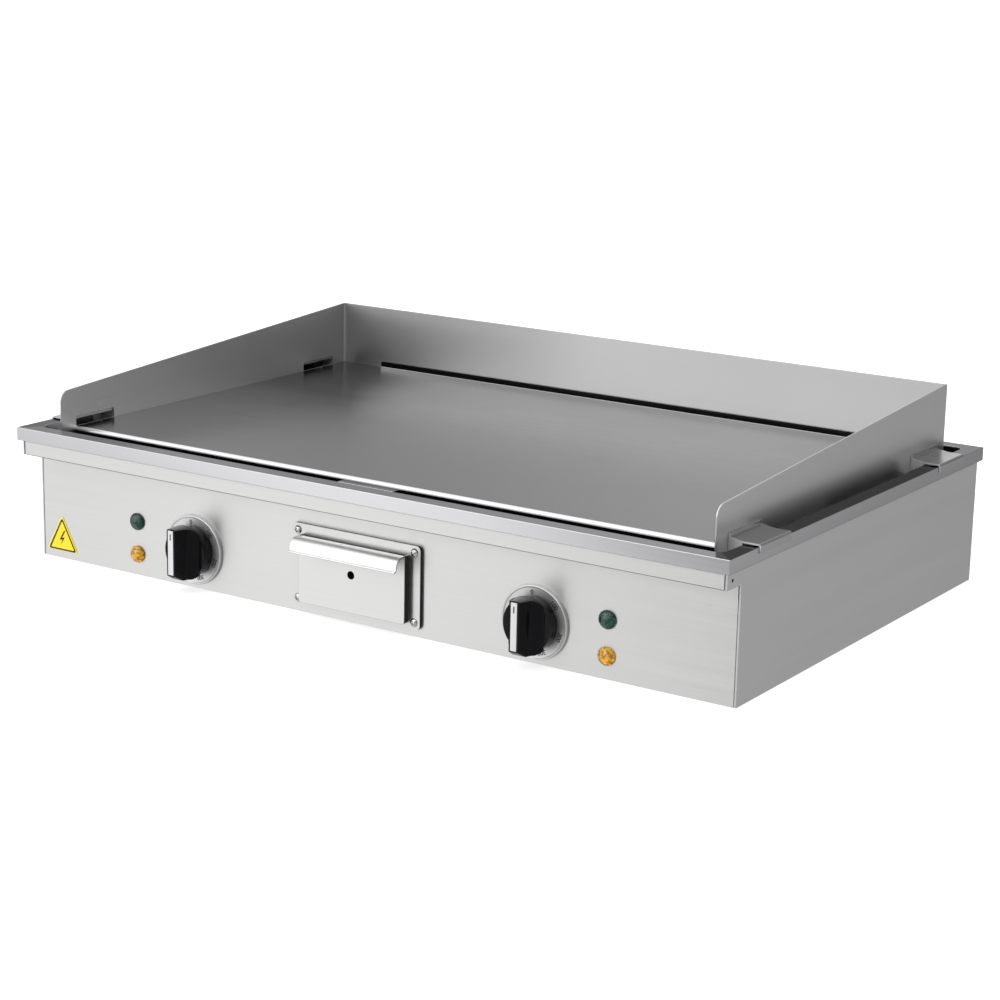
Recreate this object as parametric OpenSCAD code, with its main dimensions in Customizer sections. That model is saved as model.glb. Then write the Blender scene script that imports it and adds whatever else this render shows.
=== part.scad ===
// Flat top griddle: an electric countertop griddle with two heating zones, a three-sided
// splash guard hung over the top frame by four hooked brackets, and a front grease drawer.
// Origin: centre of the base, on the surface that it stands on. +Z up, the cook stands at -Y.

/* [Overall] */
// Width of the top frame
frame_w = 730; // [700:5:780]
// Depth of the top frame
frame_d = 480; // [470:5:520]
// Height of the frame's top face above the base
frame_top = 124; // [124:1:140]
// Height of the frame's folded edge
frame_edge = 12; // [10:1:14]
// Thickness of the outer sheet metal
sheet = 1.5; // [1.2:0.1:1.6]
// Thickness of the inner sheet metal
thin = 1; // [0.8:0.1:1]

/* [Body] */
// How far the side panels stand in from the frame's sides
side_inset = 3.5; // [3:0.5:6]
// How far the front panel stands back from the frame's front
front_setback = 27; // [25:1:30]
// How far the rear panel stands in from the frame's rear
rear_inset = 4; // [3:0.5:8]
// Setback of the apron under the frame's front edge
apron_setback = 4; // [3:0.5:6]
// Depth of the apron's lower edge below the frame's top
apron_drop = 25.5; // [24:0.5:27]

/* [Plate and well] */
// Width of the frame's side strips round the plate opening
side_strip = 14; // [12:1:16]
// Width of the frame's front strip
front_strip = 15; // [13:1:17]
// Width of the frame's rear strip
rear_strip = 14; // [13:1:18]
// Corner radius of the plate opening
well_r = 9; // [6:1:12]
// Height of the wall folded down round the opening
well_wall = 14; // [12:1:14]
// Thickness of the griddle plate
plate_t = 8; // [6:0.5:8]
// How far the plate's face lies below the frame's top
plate_drop = 3; // [2:0.5:4]
// Distance from the frame's front to the plate's front edge
plate_setback = 45; // [42:1:48]
// Radius of the plate's rounded front edge
plate_nose_r = 4; // [2:0.5:5]

/* [Splash guard] */
// Width over the guard
guard_w = 676; // [670:2:680]
// Distance from the frame's front to the guard's front edge
guard_setback = 28; // [26:1:32]
// Distance from the frame's front to the guard's rear face
guard_reach = 452; // [448:1:454]
// Height of the guard's rear above the frame's top
guard_rear_h = 59; // [40:1:90]
// Height of the guard's front above the frame's top
guard_front_h = 32; // [24:1:38]
// Radius of the side guards' front top corner
guard_r = 10; // [6:1:12]
// Length of each slot in the side guards
side_slot_l = 50; // [46:1:54]
// Height of each slot in the side guards
side_slot_h = 9; // [8:0.5:10]
// Distance from the frame's front to the front slot
front_slot_y = 47.5; // [47:0.5:50]
// Distance from the frame's front to the rear slot
rear_slot_y = 381.5; // [370:0.5:385]
// Length of the slot in the rear guard
rear_slot_l = 579; // [500:1:600]
// Height of the slot in the rear guard
rear_slot_h = 6.3; // [5:0.1:8]

/* [Guard brackets] */
// Length of each hooked bracket
bracket_l = 52; // [50:1:54]
// Clearance of the bracket above the frame's top face
bracket_gap = 0.8; // [0.5:0.1:1.2]
// How far the bracket's arm rises from the frame to the guard
bracket_rise = 2.2; // [1:0.1:3]
// How far the bracket hooks down outside the frame
bracket_hook = 5; // [4:0.5:8]
// Bend radius of the bracket
bracket_r = 2.5; // [2:0.5:3]

/* [Grease path] */
// Width of the spout on the plate's front edge, and of the chute
spout_w = 57; // [50:1:60]
// How far the spout reaches in front of the plate
spout_reach = 8.5; // [7:0.5:10]
// Depth of the trough's floor below the frame's top
trough_drop = 22; // [21:0.5:22.5]

/* [Controls] */
// Distance of each knob from the centre line
knob_x = 178.5; // [160:0.5:200]
// Depth of the knob's centre below the frame's top
knob_drop = 89; // [84:0.5:92]
// Diameter round the ends of the knob's grip bar
knob_d = 49; // [46:1:52]
// Diameter of the knob's round skirt
skirt_d = 44.6; // [42:0.2:46]
// How far the knob stands out from the front panel
knob_out = 32; // [28:1:34]
// Width of the knob's grip bar at its front
grip_w = 9; // [8:0.5:12]
// Diameter of the dial
dial_d = 62.5; // [60:0.5:66]
// Height of the dial's rim above the front panel
dial_rim = 3; // [2.5:0.5:4]
// Diameter of the thermostat shaft
shaft_d = 6; // [6:0.5:7]
// Radial running clearance of the shaft in the thermostat
shaft_gap = 0.05; // [0.03:0.01:0.08]
// Distance of the pilot lamps from the centre line
lamp_x = 245.5; // [235:0.5:255]
// Depth of the green lamps below the frame's top
green_drop = 74.5; // [68:0.5:76]
// Depth of the amber lamps below the frame's top
amber_drop = 104.5; // [98:0.5:106]
// Diameter of a lamp lens
lens_d = 16; // [14:0.5:18]
// How far a lens stands out from the front panel
lens_out = 5; // [4:0.5:6]

/* [Drawer] */
// Width of the surround plate
surround_w = 133.5; // [130:0.5:140]
// Height of the surround plate
surround_h = 72; // [70:1:74]
// How far the surround stands out from the front panel
surround_t = 3; // [2:0.5:4]
// Depth of the surround's top edge below the frame's top
surround_drop = 45; // [44:0.5:46]
// Width of the drawer front
drawer_w = 111; // [110:0.5:112]
// Height of the drawer front
drawer_h = 59; // [58:0.5:60]
// Depth of the drawer front's folded edges
drawer_depth = 6; // [5:0.5:7]
// Gap between the closed drawer front and the surround
drawer_gap = 0.3; // [0.2:0.1:1]
// Length of the drawer tray
tray_l = 186; // [150:1:190]
// Height of the drawer tray
tray_h = 40; // [30:1:42]
// How far the tray's front wall stands behind the drawer front
tray_setback = 10; // [8:1:10]
// How far the handle lip reaches out from the drawer front
lip_out = 14.5; // [13:0.5:16]
// How far the handle lip hangs down
lip_drop = 12; // [11.5:0.5:13]
// Diameter of the hole in the drawer front
drawer_hole_d = 7; // [5:0.5:8]

/* [Heating] */
// Diameter of the heating tube
tube_d = 8; // [6.5:0.5:8]
// Distance between neighbouring legs of an element
leg_pitch = 44; // [42:1:45]
// Number of legs of an element
legs = 6; // [4:2:6]
// Centre of each heating zone from the centre line
zone_x = 172; // [170:1:174]
// Depth of the heat shield's floor below the frame's top
shield_drop = 46; // [44:1:46]
// Thickness of the insulation slab
insulation_t = 18; // [12:1:19]

/* [Hidden] */

$fn = 64;
eps = 0.5;
hair = 0.01;

// Colours
steel = [0.78, 0.78, 0.77];
dark_steel = [0.45, 0.45, 0.46];
plate_grey = [0.56, 0.56, 0.57];
knob_black = [0.05, 0.05, 0.06];
silver = [0.82, 0.82, 0.82];
lens_green = [0.04, 0.22, 0.16];
lens_amber = [0.85, 0.55, 0.12];
fibre_white = [0.88, 0.87, 0.82];
label_yellow = [0.95, 0.82, 0.10];
plastic_grey = [0.30, 0.30, 0.32];
brass_gold = [0.72, 0.58, 0.30];

// Main planes
body_w = frame_w - 2 * side_inset;
front_y = -(frame_d - front_setback - rear_inset) / 2 - front_setback;
panel_y = behind(front_setback);
rear_y = behind(frame_d - rear_inset);
inner_w = body_w - 2 * sheet;
fit_gap = 0.2;
seam_gap = 0.8;

// Plate opening in the frame
well_w = frame_w - 2 * side_strip;
well_front = behind(front_strip);
well_rear = behind(frame_d - rear_strip);

// Cooking plate, inside the guard
plate_w = guard_w - 2 * sheet;
plate_front = behind(plate_setback);
plate_rear = behind(guard_reach) - sheet;
plate_top = below(plate_drop);
plate_base = plate_top - plate_t;

// Heights behind the front panel
knob_z = below(knob_drop);
shield_z = below(shield_drop);
apron_z = below(apron_drop);
trough_z = below(trough_drop);
panel_top = apron_z - fit_gap;

// A point's Y from its distance behind the frame's front, and its Z from its depth
function behind(d) = front_y + d;
function below(d) = frame_top - d;

// Box between two corners
module slab(x, y, z) {
    translate([x[0], y[0], z[0]]) cube([x[1] - x[0], y[1] - y[0], z[1] - z[0]]);
}

// Box of a given width on the centre line
module centred(w, y, z) {
    slab([-w / 2, w / 2], y, z);
}

// Outline with round corners, centred
module round_rect(w, h, r) {
    square([w - 2 * r, h], center = true);
    square([w, h - 2 * r], center = true);
    for (sx = [-1, 1], sy = [-1, 1]) {
        translate([sx * (w / 2 - r), sy * (h / 2 - r)]) circle(r);
    }
}

// Extrudes an outline drawn in X and Z from y0 towards +Y
module along_y(y0, length) {
    translate([0, y0 + length, 0]) rotate([90, 0, 0]) linear_extrude(length) children();
}

// Extrudes an outline drawn in Y and Z from x0 towards +X
module along_x(x0, length) {
    translate([x0, 0, 0]) rotate([90, 0, 90]) linear_extrude(length) children();
}

// Turns a shape that points along +Z so that it points at the cook, based at (x, y, z)
module facing_front(x, y, z) {
    translate([x, y, z]) rotate([90, 0, 0]) children();
}

// The same, pointing to the rear
module facing_rear(x, y, z) {
    translate([x, y, z]) rotate([-90, 0, 0]) children();
}

// Quarter of a ring with outer radius r and width t, its quadrant turned by an angle
module bend(r, t, turn) {
    rotate(turn) intersection() {
        difference() {
            circle(r);
            circle(r - t);
        }
        square(r);
    }
}

// Mirrors a right-hand shape to the left side
module sided(side) {
    if (side < 0) mirror([1, 0, 0]) children();
    else children();
}

// ---------- Frame and body ----------

module well_outline(grow) {
    mid_y = (well_front + well_rear) / 2;
    translate([0, mid_y]) round_rect(well_w + 2 * grow, well_rear - well_front + 2 * grow, well_r + grow);
}

module frame_outline(shrink) {
    translate([0, behind(frame_d / 2)]) square([frame_w - 2 * shrink, frame_d - 2 * shrink], center = true);
}

module top_frame() {
    color(steel) {
        translate([0, 0, frame_top - sheet]) linear_extrude(sheet) difference() {
            frame_outline(0);
            well_outline(0);
        }
        translate([0, 0, frame_top - frame_edge]) linear_extrude(frame_edge) difference() {
            frame_outline(0);
            frame_outline(sheet);
        }
        translate([0, 0, frame_top - well_wall]) linear_extrude(well_wall) difference() {
            well_outline(thin);
            well_outline(0);
        }
    }
}

module front_apron() {
    w = inner_w - 2 * seam_gap;
    front = behind(apron_setback);
    color(steel) {
        centred(w, [front, front + thin], [apron_z, frame_top - sheet]);
        centred(w, [front, panel_y], [apron_z, apron_z + thin]);
    }
}

lamp_hole_r = 6.5;
shaft_hole_r = 6;
drawer_hole_w = 108;
drawer_hole_h = 56.5;
drawer_mid = surround_drop + surround_h / 2;
screw_inset = 6;
screw_hole_r = 2.1;

// Calls its child at each corner of the surround, at panel height
module surround_corners() {
    for (sx = [-1, 1], sz = [-1, 1]) {
        x = sx * (surround_w / 2 - screw_inset);
        z = below(drawer_mid) + sz * (surround_h / 2 - screw_inset);
        translate([x, 0, z]) children();
    }
}

module front_panel() {
    w = inner_w - 2 * seam_gap;
    color(steel) difference() {
        centred(w, [panel_y, panel_y + sheet], [0, panel_top]);
        for (side = [-1, 1]) {
            facing_rear(side * knob_x, panel_y - eps, knob_z) cylinder(h = sheet + 2 * eps, r = shaft_hole_r);
            for (drop = [green_drop, amber_drop]) {
                facing_rear(side * lamp_x, panel_y - eps, below(drop))
                    cylinder(h = sheet + 2 * eps, r = lamp_hole_r);
            }
        }
        translate([0, 0, below(drawer_mid)])
            along_y(panel_y - eps, sheet + 2 * eps) square([drawer_hole_w, drawer_hole_h], center = true);
        surround_corners() facing_rear(0, panel_y - eps, 0) cylinder(h = sheet + 2 * eps, r = screw_hole_r);
    }
}

ear_hole_r = 1.5;
ear_hole_y = 12.6;
ear_hole_drop = 19;
flange = 12;

// Side wall with its ear beside the apron, and flanges for the front, rear and base
module side_panel(side) {
    x_out = body_w / 2;
    top = frame_top - sheet;
    outline = [
        [panel_y, 0], [rear_y, 0], [rear_y, top], [behind(apron_setback), top],
        [behind(apron_setback), apron_z], [panel_y, apron_z]
    ];
    color(steel) sided(side) {
        difference() {
            along_x(x_out - sheet, sheet) polygon(outline);
            translate([x_out - sheet - eps, behind(ear_hole_y), below(ear_hole_drop)])
                rotate([0, 90, 0]) cylinder(h = sheet + 2 * eps, r = ear_hole_r);
        }
        x = [x_out - flange, x_out - sheet];
        front = panel_y + sheet;
        rear = rear_y - 2 * sheet;
        difference() {
            union() {
                slab(x, [front, front + sheet], [base_t, panel_top - flange]);
                slab(x, [rear, rear + sheet], [base_t, top - flange]);
                slab(x, [front, rear + sheet], [base_t, base_t + sheet]);
            }
            for (p = rear_screw_points) {
                facing_rear(abs(p[0]), rear - eps, p[1]) cylinder(h = sheet + 2 * eps, r = panel_screw_r);
            }
            for (p = base_screw_points) {
                translate([abs(p[0]), p[1], base_t - eps]) cylinder(h = sheet + 2 * eps, r = panel_screw_r);
            }
        }
    }
}

module left_side_panel() {
    side_panel(-1);
}

module right_side_panel() {
    side_panel(1);
}

gland_x = 250;
gland_z = 42;
gland_hole_r = 12.5;
earth_x = 190;
earth_z = 30;
earth_r = 2.5;
vent_count = 9;
vent_pitch = 24;
vent_w = 5;
vent_h = 36;
rear_vent_x = -60;
rear_screw_x = body_w / 2 - flange / 2 - sheet / 2;
low_screw_z = 20;
high_screw_z = 100;
flange_screw_x = 120;
flange_screw_z = 7;
rear_screw_points = [for (sx = [-1, 1], z = [low_screw_z, high_screw_z]) [sx * rear_screw_x, z]];
flange_screw_points = [for (sx = [-1, 1]) [sx * flange_screw_x, flange_screw_z]];
rear_points = concat(rear_screw_points, flange_screw_points);

module rear_panel() {
    w = inner_w - 2 * fit_gap;
    color(steel) difference() {
        centred(w, [rear_y - sheet, rear_y], [0, frame_top - sheet]);
        facing_rear(gland_x, rear_y - sheet - eps, gland_z) cylinder(h = sheet + 2 * eps, r = gland_hole_r);
        facing_rear(earth_x, rear_y - sheet - eps, earth_z) cylinder(h = sheet + 2 * eps, r = earth_r);
        for (i = [0:vent_count - 1]) {
            x = rear_vent_x + (i - (vent_count - 1) / 2) * vent_pitch;
            translate([x, 0, frame_top / 2])
                along_y(rear_y - sheet - eps, sheet + 2 * eps) round_rect(vent_w, vent_h, vent_w / 2 - hair);
        }
        for (p = rear_points) {
            facing_rear(p[0], rear_y - sheet - eps, p[1]) cylinder(h = sheet + 2 * eps, r = panel_screw_r);
        }
    }
}

base_t = 1.5;
foot_inset_x = 60;
foot_inset_y = 55;
foot_hole_r = 6;
foot_thread_r = 4;
foot_bush_h = 12;
foot_collar = 4;
base_vent_l = 60;
base_flange_h = 10;

// Calls its child at each of the four foot positions
module foot_positions() {
    for (sx = [-1, 1], y = [panel_y + foot_inset_y, rear_y - foot_inset_y]) {
        translate([sx * (body_w / 2 - foot_inset_x), y, 0]) children();
    }
}

module base_plate() {
    w = inner_w - 2 * fit_gap;
    y = [panel_y + sheet, rear_y - sheet];
    color(steel) difference() {
        union() {
            centred(w, y, [0, base_t]);
            for (fy = [y[0], y[1] - sheet]) {
                centred(w - 2 * flange, [fy, fy + sheet], [0, base_flange_h]);
            }
        }
        for (p = flange_screw_points) {
            facing_front(p[0], y[1] + eps, p[1]) cylinder(h = sheet + 2 * eps, r = panel_screw_r);
        }
        foot_positions() translate([0, 0, -eps]) cylinder(h = base_t + 2 * eps, r = foot_hole_r);
        for (sx = [-1, 1], i = [0:vent_count - 1]) {
            x = sx * knob_x + (i - (vent_count - 1) / 2) * vent_pitch;
            translate([x, 0, -eps]) linear_extrude(base_t + 2 * eps)
                round_rect(vent_w, base_vent_l, vent_w / 2 - hair);
        }
        for (p = base_screw_points) {
            translate([p[0], p[1], 0]) countersink();
        }
    }
}

// Head of a countersunk screw, its flat face on z = 0
module countersink() {
    cylinder(h = base_t, r1 = panel_head_r, r2 = panel_screw_r);
}

// Threaded bushes, flush with the base, that take screw-in feet
module foot_bushes() {
    head_r = foot_hole_r + foot_collar;
    color(brass_gold) foot_positions() difference() {
        union() {
            cylinder(h = foot_bush_h, r = foot_hole_r);
            translate([0, 0, base_t]) cylinder(h = base_t, r = head_r);
        }
        translate([0, 0, -eps]) cylinder(h = foot_bush_h + 2 * eps, r = foot_thread_r);
    }
}

// ---------- Plate and splash guard ----------

module griddle_plate() {
    r = plate_nose_r;
    color(plate_grey) {
        centred(plate_w, [plate_front + r, plate_rear], [plate_base, plate_top]);
        centred(plate_w, [plate_front, plate_front + r], [plate_base, plate_top - r]);
        translate([-plate_w / 2, plate_front + r, plate_top - r]) rotate([0, 90, 0])
            intersection() {
                cylinder(h = plate_w, r = r);
                translate([-r, -r, 0]) cube([r, r, plate_w]);
            }
    }
}

support_lip = 21;

// Flat three-sided frame that closes the well and carries the plate and the guard
module support_frame() {
    z0 = frame_top - well_wall;
    front = trough_rear;
    color(steel) translate([0, 0, z0]) linear_extrude(plate_base - z0) difference() {
        well_outline(0);
        translate([0, (well_front + front) / 2 - eps])
            square([frame_w, front - well_front + 2 * eps], center = true);
        translate([0, front])
            square([well_w - 2 * support_lip, 2 * (well_rear - front - support_lip)], center = true);
    }
}

guard_base = plate_base;
guard_slot_z = plate_top;

weld_r = 2;

// Rear guard, with a weld bead down each corner above the plate
module rear_guard() {
    y1 = behind(guard_reach);
    corner_y = y1 - sheet;
    top = frame_top + guard_rear_h;
    slot_z = [guard_slot_z, guard_slot_z + rear_slot_h];
    color(steel) {
        difference() {
            centred(guard_w, [corner_y, y1], [guard_base, top]);
            centred(rear_slot_l, [corner_y - eps, y1 + eps], slot_z);
        }
        for (side = [-1, 1]) sided(side) intersection() {
            translate([guard_w / 2 - sheet, corner_y, plate_top]) cylinder(h = top - plate_top, r = weld_r);
            slab([guard_w / 2 - sheet - weld_r, guard_w / 2 - sheet], [corner_y - weld_r, corner_y],
                [plate_top, top]);
        }
    }
}

// Side guard: falls from the rear height to the front height, with one round front corner
module side_guard(side) {
    y0 = behind(guard_setback);
    y1 = behind(guard_reach) - sheet;
    rear_top = frame_top + guard_rear_h;
    front_top = frame_top + guard_front_h;
    r = guard_r;
    tilt = atan((rear_top - front_top) / (y1 - y0 - r));
    tangent = [y0 + r - r * sin(tilt), front_top - r + r * cos(tilt)];
    color(steel) sided(side) difference() {
        along_x(guard_w / 2 - sheet, sheet) union() {
            polygon([[y0, guard_base], [y1, guard_base], [y1, rear_top], tangent, [y0 + r, front_top - r],
                [y0, front_top - r]]);
            translate([y0 + r, front_top - r]) circle(r);
        }
        for (y = [front_slot_y, rear_slot_y]) {
            slab([guard_w / 2 - sheet - eps, guard_w / 2 + eps], [behind(y), behind(y + side_slot_l)],
                [guard_slot_z, guard_slot_z + side_slot_h]);
        }
    }
}

module left_guard() {
    side_guard(-1);
}

module right_guard() {
    side_guard(1);
}

bracket_lip = 1;
web_gap = 0.5;
arm_z = frame_top + bracket_gap;
arm_inner_z = arm_z + bracket_rise;

// Bracket profile in X and Z: a lip up the guard, an arm that falls to the frame, a hook outside it
module bracket_outline() {
    x0 = guard_w / 2;
    knee = well_w / 2;
    x1 = frame_w / 2 + sheet;
    z1 = arm_z + sheet;
    r = bracket_r;
    lip_top = guard_slot_z + side_slot_h + bracket_lip;
    translate([x0, arm_inner_z]) square([sheet, lip_top - arm_inner_z]);
    polygon([[x0, arm_inner_z], [knee, arm_z], [knee, z1], [x0, arm_inner_z + sheet]]);
    translate([knee, arm_z]) square([x1 - r - knee, sheet]);
    translate([x1 - r, z1 - r]) bend(r, sheet, 0);
    translate([x1 - sheet, frame_top - bracket_hook]) square([sheet, z1 - r - frame_top + bracket_hook]);
}

// Web in X and Z that hangs from the arm into the gap between the guard and the frame
module bracket_web() {
    x0 = guard_w / 2;
    x1 = well_w / 2 - web_gap;
    polygon([[x0, guard_base], [x1, guard_base], [x1, arm_z + sheet / 2], [x0, arm_inner_z + sheet / 2]]);
}

module guard_bracket(side, slot_y) {
    y0 = behind(slot_y) + (side_slot_l - bracket_l) / 2;
    color(steel) sided(side) {
        along_y(y0, bracket_l) bracket_outline();
        for (y = [y0, y0 + bracket_l - sheet]) {
            along_y(y, sheet) bracket_web();
        }
    }
}

module front_left_bracket() {
    guard_bracket(-1, front_slot_y);
}

module front_right_bracket() {
    guard_bracket(1, front_slot_y);
}

module rear_left_bracket() {
    guard_bracket(-1, rear_slot_y);
}

module rear_right_bracket() {
    guard_bracket(1, rear_slot_y);
}

// ---------- Grease path ----------

spout_drop = 3.5;
spout_fall = 12;

// Bent tab welded to the plate's front edge: level on top, then down into the chute
module plate_spout() {
    top = plate_top - spout_drop;
    front = plate_front - spout_reach;
    color(steel) {
        centred(spout_w, [front + thin, plate_front], [top - thin, top]);
        centred(spout_w, [front, front + thin], [top - thin - spout_fall, top]);
    }
}

trough_front = well_front - 2 * thin;
trough_reach = 17;
trough_rear = plate_front + trough_reach;
trough_w = well_w + 4 * thin;
chute_d = 22;
chute_gap = 2;
chute_front = panel_y + sheet + chute_gap;
chute_w = spout_w + 2 * chute_gap;

// Trough under the plate's front edge, its front and side walls outside the well's wall
module grease_trough() {
    top = frame_top - sheet;
    low = frame_top - well_wall;
    color(steel) difference() {
        centred(trough_w, [trough_front, trough_rear], [trough_z, top]);
        centred(trough_w - 2 * thin, [trough_front + thin, trough_rear - thin], [trough_z + thin, top + eps]);
        centred(trough_w - 2 * thin, [trough_rear - 2 * thin, trough_rear + eps], [low, top + eps]);
        centred(chute_w, [chute_front, chute_front + chute_d], [trough_z - eps, trough_z + thin + eps]);
    }
}

chute_end = 60;

// Square duct from the trough's outlet down into the drawer sleeve
module grease_chute() {
    z = [below(chute_end), trough_z];
    color(steel) difference() {
        centred(chute_w + 2 * thin, [chute_front - thin, chute_front + chute_d + thin], z);
        centred(chute_w, [chute_front, chute_front + chute_d], [z[0] - eps, z[1] + eps]);
    }
}

// ---------- Heating ----------

shield_front = trough_rear + thin;
shield_rear = well_rear + thin;
shield_top = frame_top - well_wall;
zone_margin = 38;
leg_front = shield_front + zone_margin;
leg_rear = shield_rear - zone_margin;
tube_z = plate_base - tube_d / 2;
terminal_hole_r = 7;
terminal_l = 12;
terminal_z = shield_z - terminal_l;
sensor_inset = 30;

// X of leg i of an element, and the four points where cold ends or capillaries pass the shield
function leg_x(side, i) = side * zone_x + (i - (legs - 1) / 2) * leg_pitch;
sensor_y = leg_front + sensor_inset;
function sensor_x(side) = side * zone_x;

module shield_holes(z, h) {
    for (side = [-1, 1]) {
        for (i = [0, legs - 1]) {
            translate([leg_x(side, i), leg_front, z]) cylinder(h = h, r = terminal_hole_r);
        }
        translate([sensor_x(side), sensor_y, z]) cylinder(h = h, r = terminal_hole_r / 2);
    }
}

module heat_shield() {
    w = well_w + 2 * thin;
    color(dark_steel) difference() {
        centred(w, [shield_front, shield_rear], [shield_z, shield_top]);
        centred(w - 2 * thin, [shield_front + thin, shield_rear - thin], [shield_z + thin, shield_top + eps]);
        shield_holes(shield_z - eps, thin + 2 * eps);
    }
}

module insulation_slab() {
    w = well_w - 2 * thin;
    z0 = shield_z + thin;
    color(fibre_white) difference() {
        centred(w, [shield_front + 2 * thin, shield_rear - 2 * thin], [z0, z0 + insulation_t]);
        shield_holes(z0 - eps, insulation_t + 2 * eps);
    }
}

// Serpentine tube under one zone, with both cold ends turned down at the front
module heating_element(side) {
    r = tube_d / 2;
    bend_r = leg_pitch / 2;
    elbow_r = tube_d;
    color(dark_steel) {
        for (i = [0:legs - 1]) {
            x = leg_x(side, i);
            last = i == 0 || i == legs - 1;
            start = last ? leg_front + elbow_r : leg_front + bend_r;
            facing_rear(x, start, tube_z) cylinder(h = leg_rear - bend_r - start, r = r);
            if (last) {
                translate([x, leg_front + elbow_r, tube_z - elbow_r]) rotate([90, 0, -90])
                    rotate_extrude(angle = 90) translate([elbow_r, 0]) circle(r);
                translate([x, leg_front, terminal_z]) cylinder(h = tube_z - elbow_r - terminal_z, r = r);
            }
        }
        for (i = [0:2:legs - 2]) {
            translate([(leg_x(side, i) + leg_x(side, i + 1)) / 2, leg_rear - bend_r, tube_z])
                rotate_extrude(angle = 180) translate([bend_r, 0]) circle(r);
        }
        for (i = [1:2:legs - 3]) {
            translate([(leg_x(side, i) + leg_x(side, i + 1)) / 2, leg_front + bend_r, tube_z])
                rotate([0, 0, 180]) rotate_extrude(angle = 180) translate([bend_r, 0]) circle(r);
        }
    }
}

module left_heating_element() {
    heating_element(-1);
}

module right_heating_element() {
    heating_element(1);
}

bar_l = 262;
bar_w = 22;
bar_t = 2;
front_bar_inset = 95;
rear_bar_inset = 75;
bar_ys = [leg_front + front_bar_inset, leg_rear - rear_bar_inset];
stud_r = 3;
stud_l = 15;
stud_legs = [0, legs - 2];
bar_top = plate_base - tube_d;

// Calls its child at every stud, half way between two legs
module stud_positions() {
    for (side = [-1, 1], y = bar_ys, i = stud_legs) {
        translate([leg_x(side, i) + leg_pitch / 2, y, 0]) children();
    }
}

// Flat bars that press the heating tubes against the plate
module clamp_bars() {
    color(dark_steel) difference() {
        for (side = [-1, 1], y = bar_ys) {
            x = side * zone_x;
            slab([x - bar_l / 2, x + bar_l / 2], [y - bar_w / 2, y + bar_w / 2], [bar_top - bar_t, bar_top]);
        }
        stud_positions() translate([0, 0, bar_top - bar_t - eps]) cylinder(h = bar_t + 2 * eps, r = stud_r);
    }
}

module clamp_studs() {
    color(silver) stud_positions() translate([0, 0, plate_base - stud_l]) cylinder(h = stud_l, r = stud_r);
}

nut_h = 5;
nut_r = 5.8;

module clamp_nuts() {
    color(silver) stud_positions() translate([0, 0, bar_top - bar_t - nut_h]) difference() {
        cylinder(h = nut_h, r = nut_r, $fn = 6);
        translate([0, 0, -eps]) cylinder(h = nut_h + 2 * eps, r = stud_r);
    }
}

bulb_r = 3;
bulb_l = 110;
capillary_r = 1;

// Sensor bulb between two legs, with its capillary down to the thermostat
module sensor(side) {
    x = sensor_x(side);
    z = plate_base - bulb_r;
    low = knob_z + thermostat_h / 2 - 3 * bulb_r;
    color(brass_gold) {
        facing_rear(x, sensor_y, z) cylinder(h = bulb_l, r = bulb_r);
        translate([x, sensor_y, low]) cylinder(h = z - low, r = capillary_r);
        translate([x, sensor_y, low]) sphere(capillary_r, $fn = 24);
        facing_front(x, sensor_y, low) cylinder(h = sensor_y - thermostat_rear, r = capillary_r);
    }
}

module left_sensor() {
    sensor(-1);
}

module right_sensor() {
    sensor(1);
}

// ---------- Controls ----------

thermostat_w = 44;
thermostat_h = 46;
thermostat_d = 34;
thermostat_front = panel_y + sheet;
thermostat_rear = thermostat_front + thermostat_d;
shaft_in = 20;
terminal_tab = [6.3, 8, 0.8];

// Thermostat body behind the front panel, with its shaft bush and flat tabs
module thermostat(side) {
    color(plastic_grey) translate([side * knob_x, 0, knob_z]) difference() {
        union() {
            along_y(thermostat_front, thermostat_d) square([thermostat_w, thermostat_h], center = true);
            for (tx = [-1, 1], tz = [-1, 1]) {
                x = tx * thermostat_w / 4 - terminal_tab[0] / 2;
                translate([x, thermostat_rear, tz * thermostat_h / 4]) cube(terminal_tab);
            }
        }
        facing_rear(0, thermostat_front - eps, 0) cylinder(h = shaft_in + eps, r = shaft_d / 2 + shaft_gap);
    }
}

module left_thermostat() {
    thermostat(-1);
}

module right_thermostat() {
    thermostat(1);
}

safety_x = 270;
safety_y = 60;
safety_size = [36, 40, 30];

// Manual-reset safety thermostats on the base
module safety_thermostats() {
    z = base_t + safety_size[2];
    color(plastic_grey) for (side = [-1, 1]) {
        translate([side * safety_x, safety_y, base_t + safety_size[2] / 2]) cube(safety_size, center = true);
        translate([side * safety_x, safety_y, z]) cylinder(h = nut_h, r = nut_r);
    }
}

dial_r = dial_d / 2;
dial_hole_r = 8;
dial_lip = 0.8;
dial_dish = 2.3;
dial_foot = 1.8;

// Metal dial: a low rim, then a very shallow cone down to the shaft hole
module dial(side) {
    color(silver) facing_front(side * knob_x, panel_y, knob_z) rotate_extrude() polygon([
        [dial_hole_r, 0], [dial_r, 0], [dial_r, dial_rim - dial_lip / 2], [dial_r - dial_lip / 2, dial_rim],
        [dial_r - 2 * dial_lip, dial_rim], [dial_r - 3.5 * dial_lip, dial_dish], [dial_hole_r, dial_foot]
    ]);
}

module left_dial() {
    dial(-1);
}

module right_dial() {
    dial(1);
}

knob_lift = 4;
knob_r = knob_d / 2;
knob_depth = knob_out - knob_lift;
skirt_r = skirt_d / 2;
skirt_h = 10;
scoop_r = 10;
grip_draft = 2;
grip_base_w = grip_w + 2 * (grip_draft + scoop_r);
socket_h = 20;
pointer_w = 6;
pointer_l = 41;
pointer_t = 1;
pointer_inset = 0.5;
grip_cut = 30;
knob_edge = 1;

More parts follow.
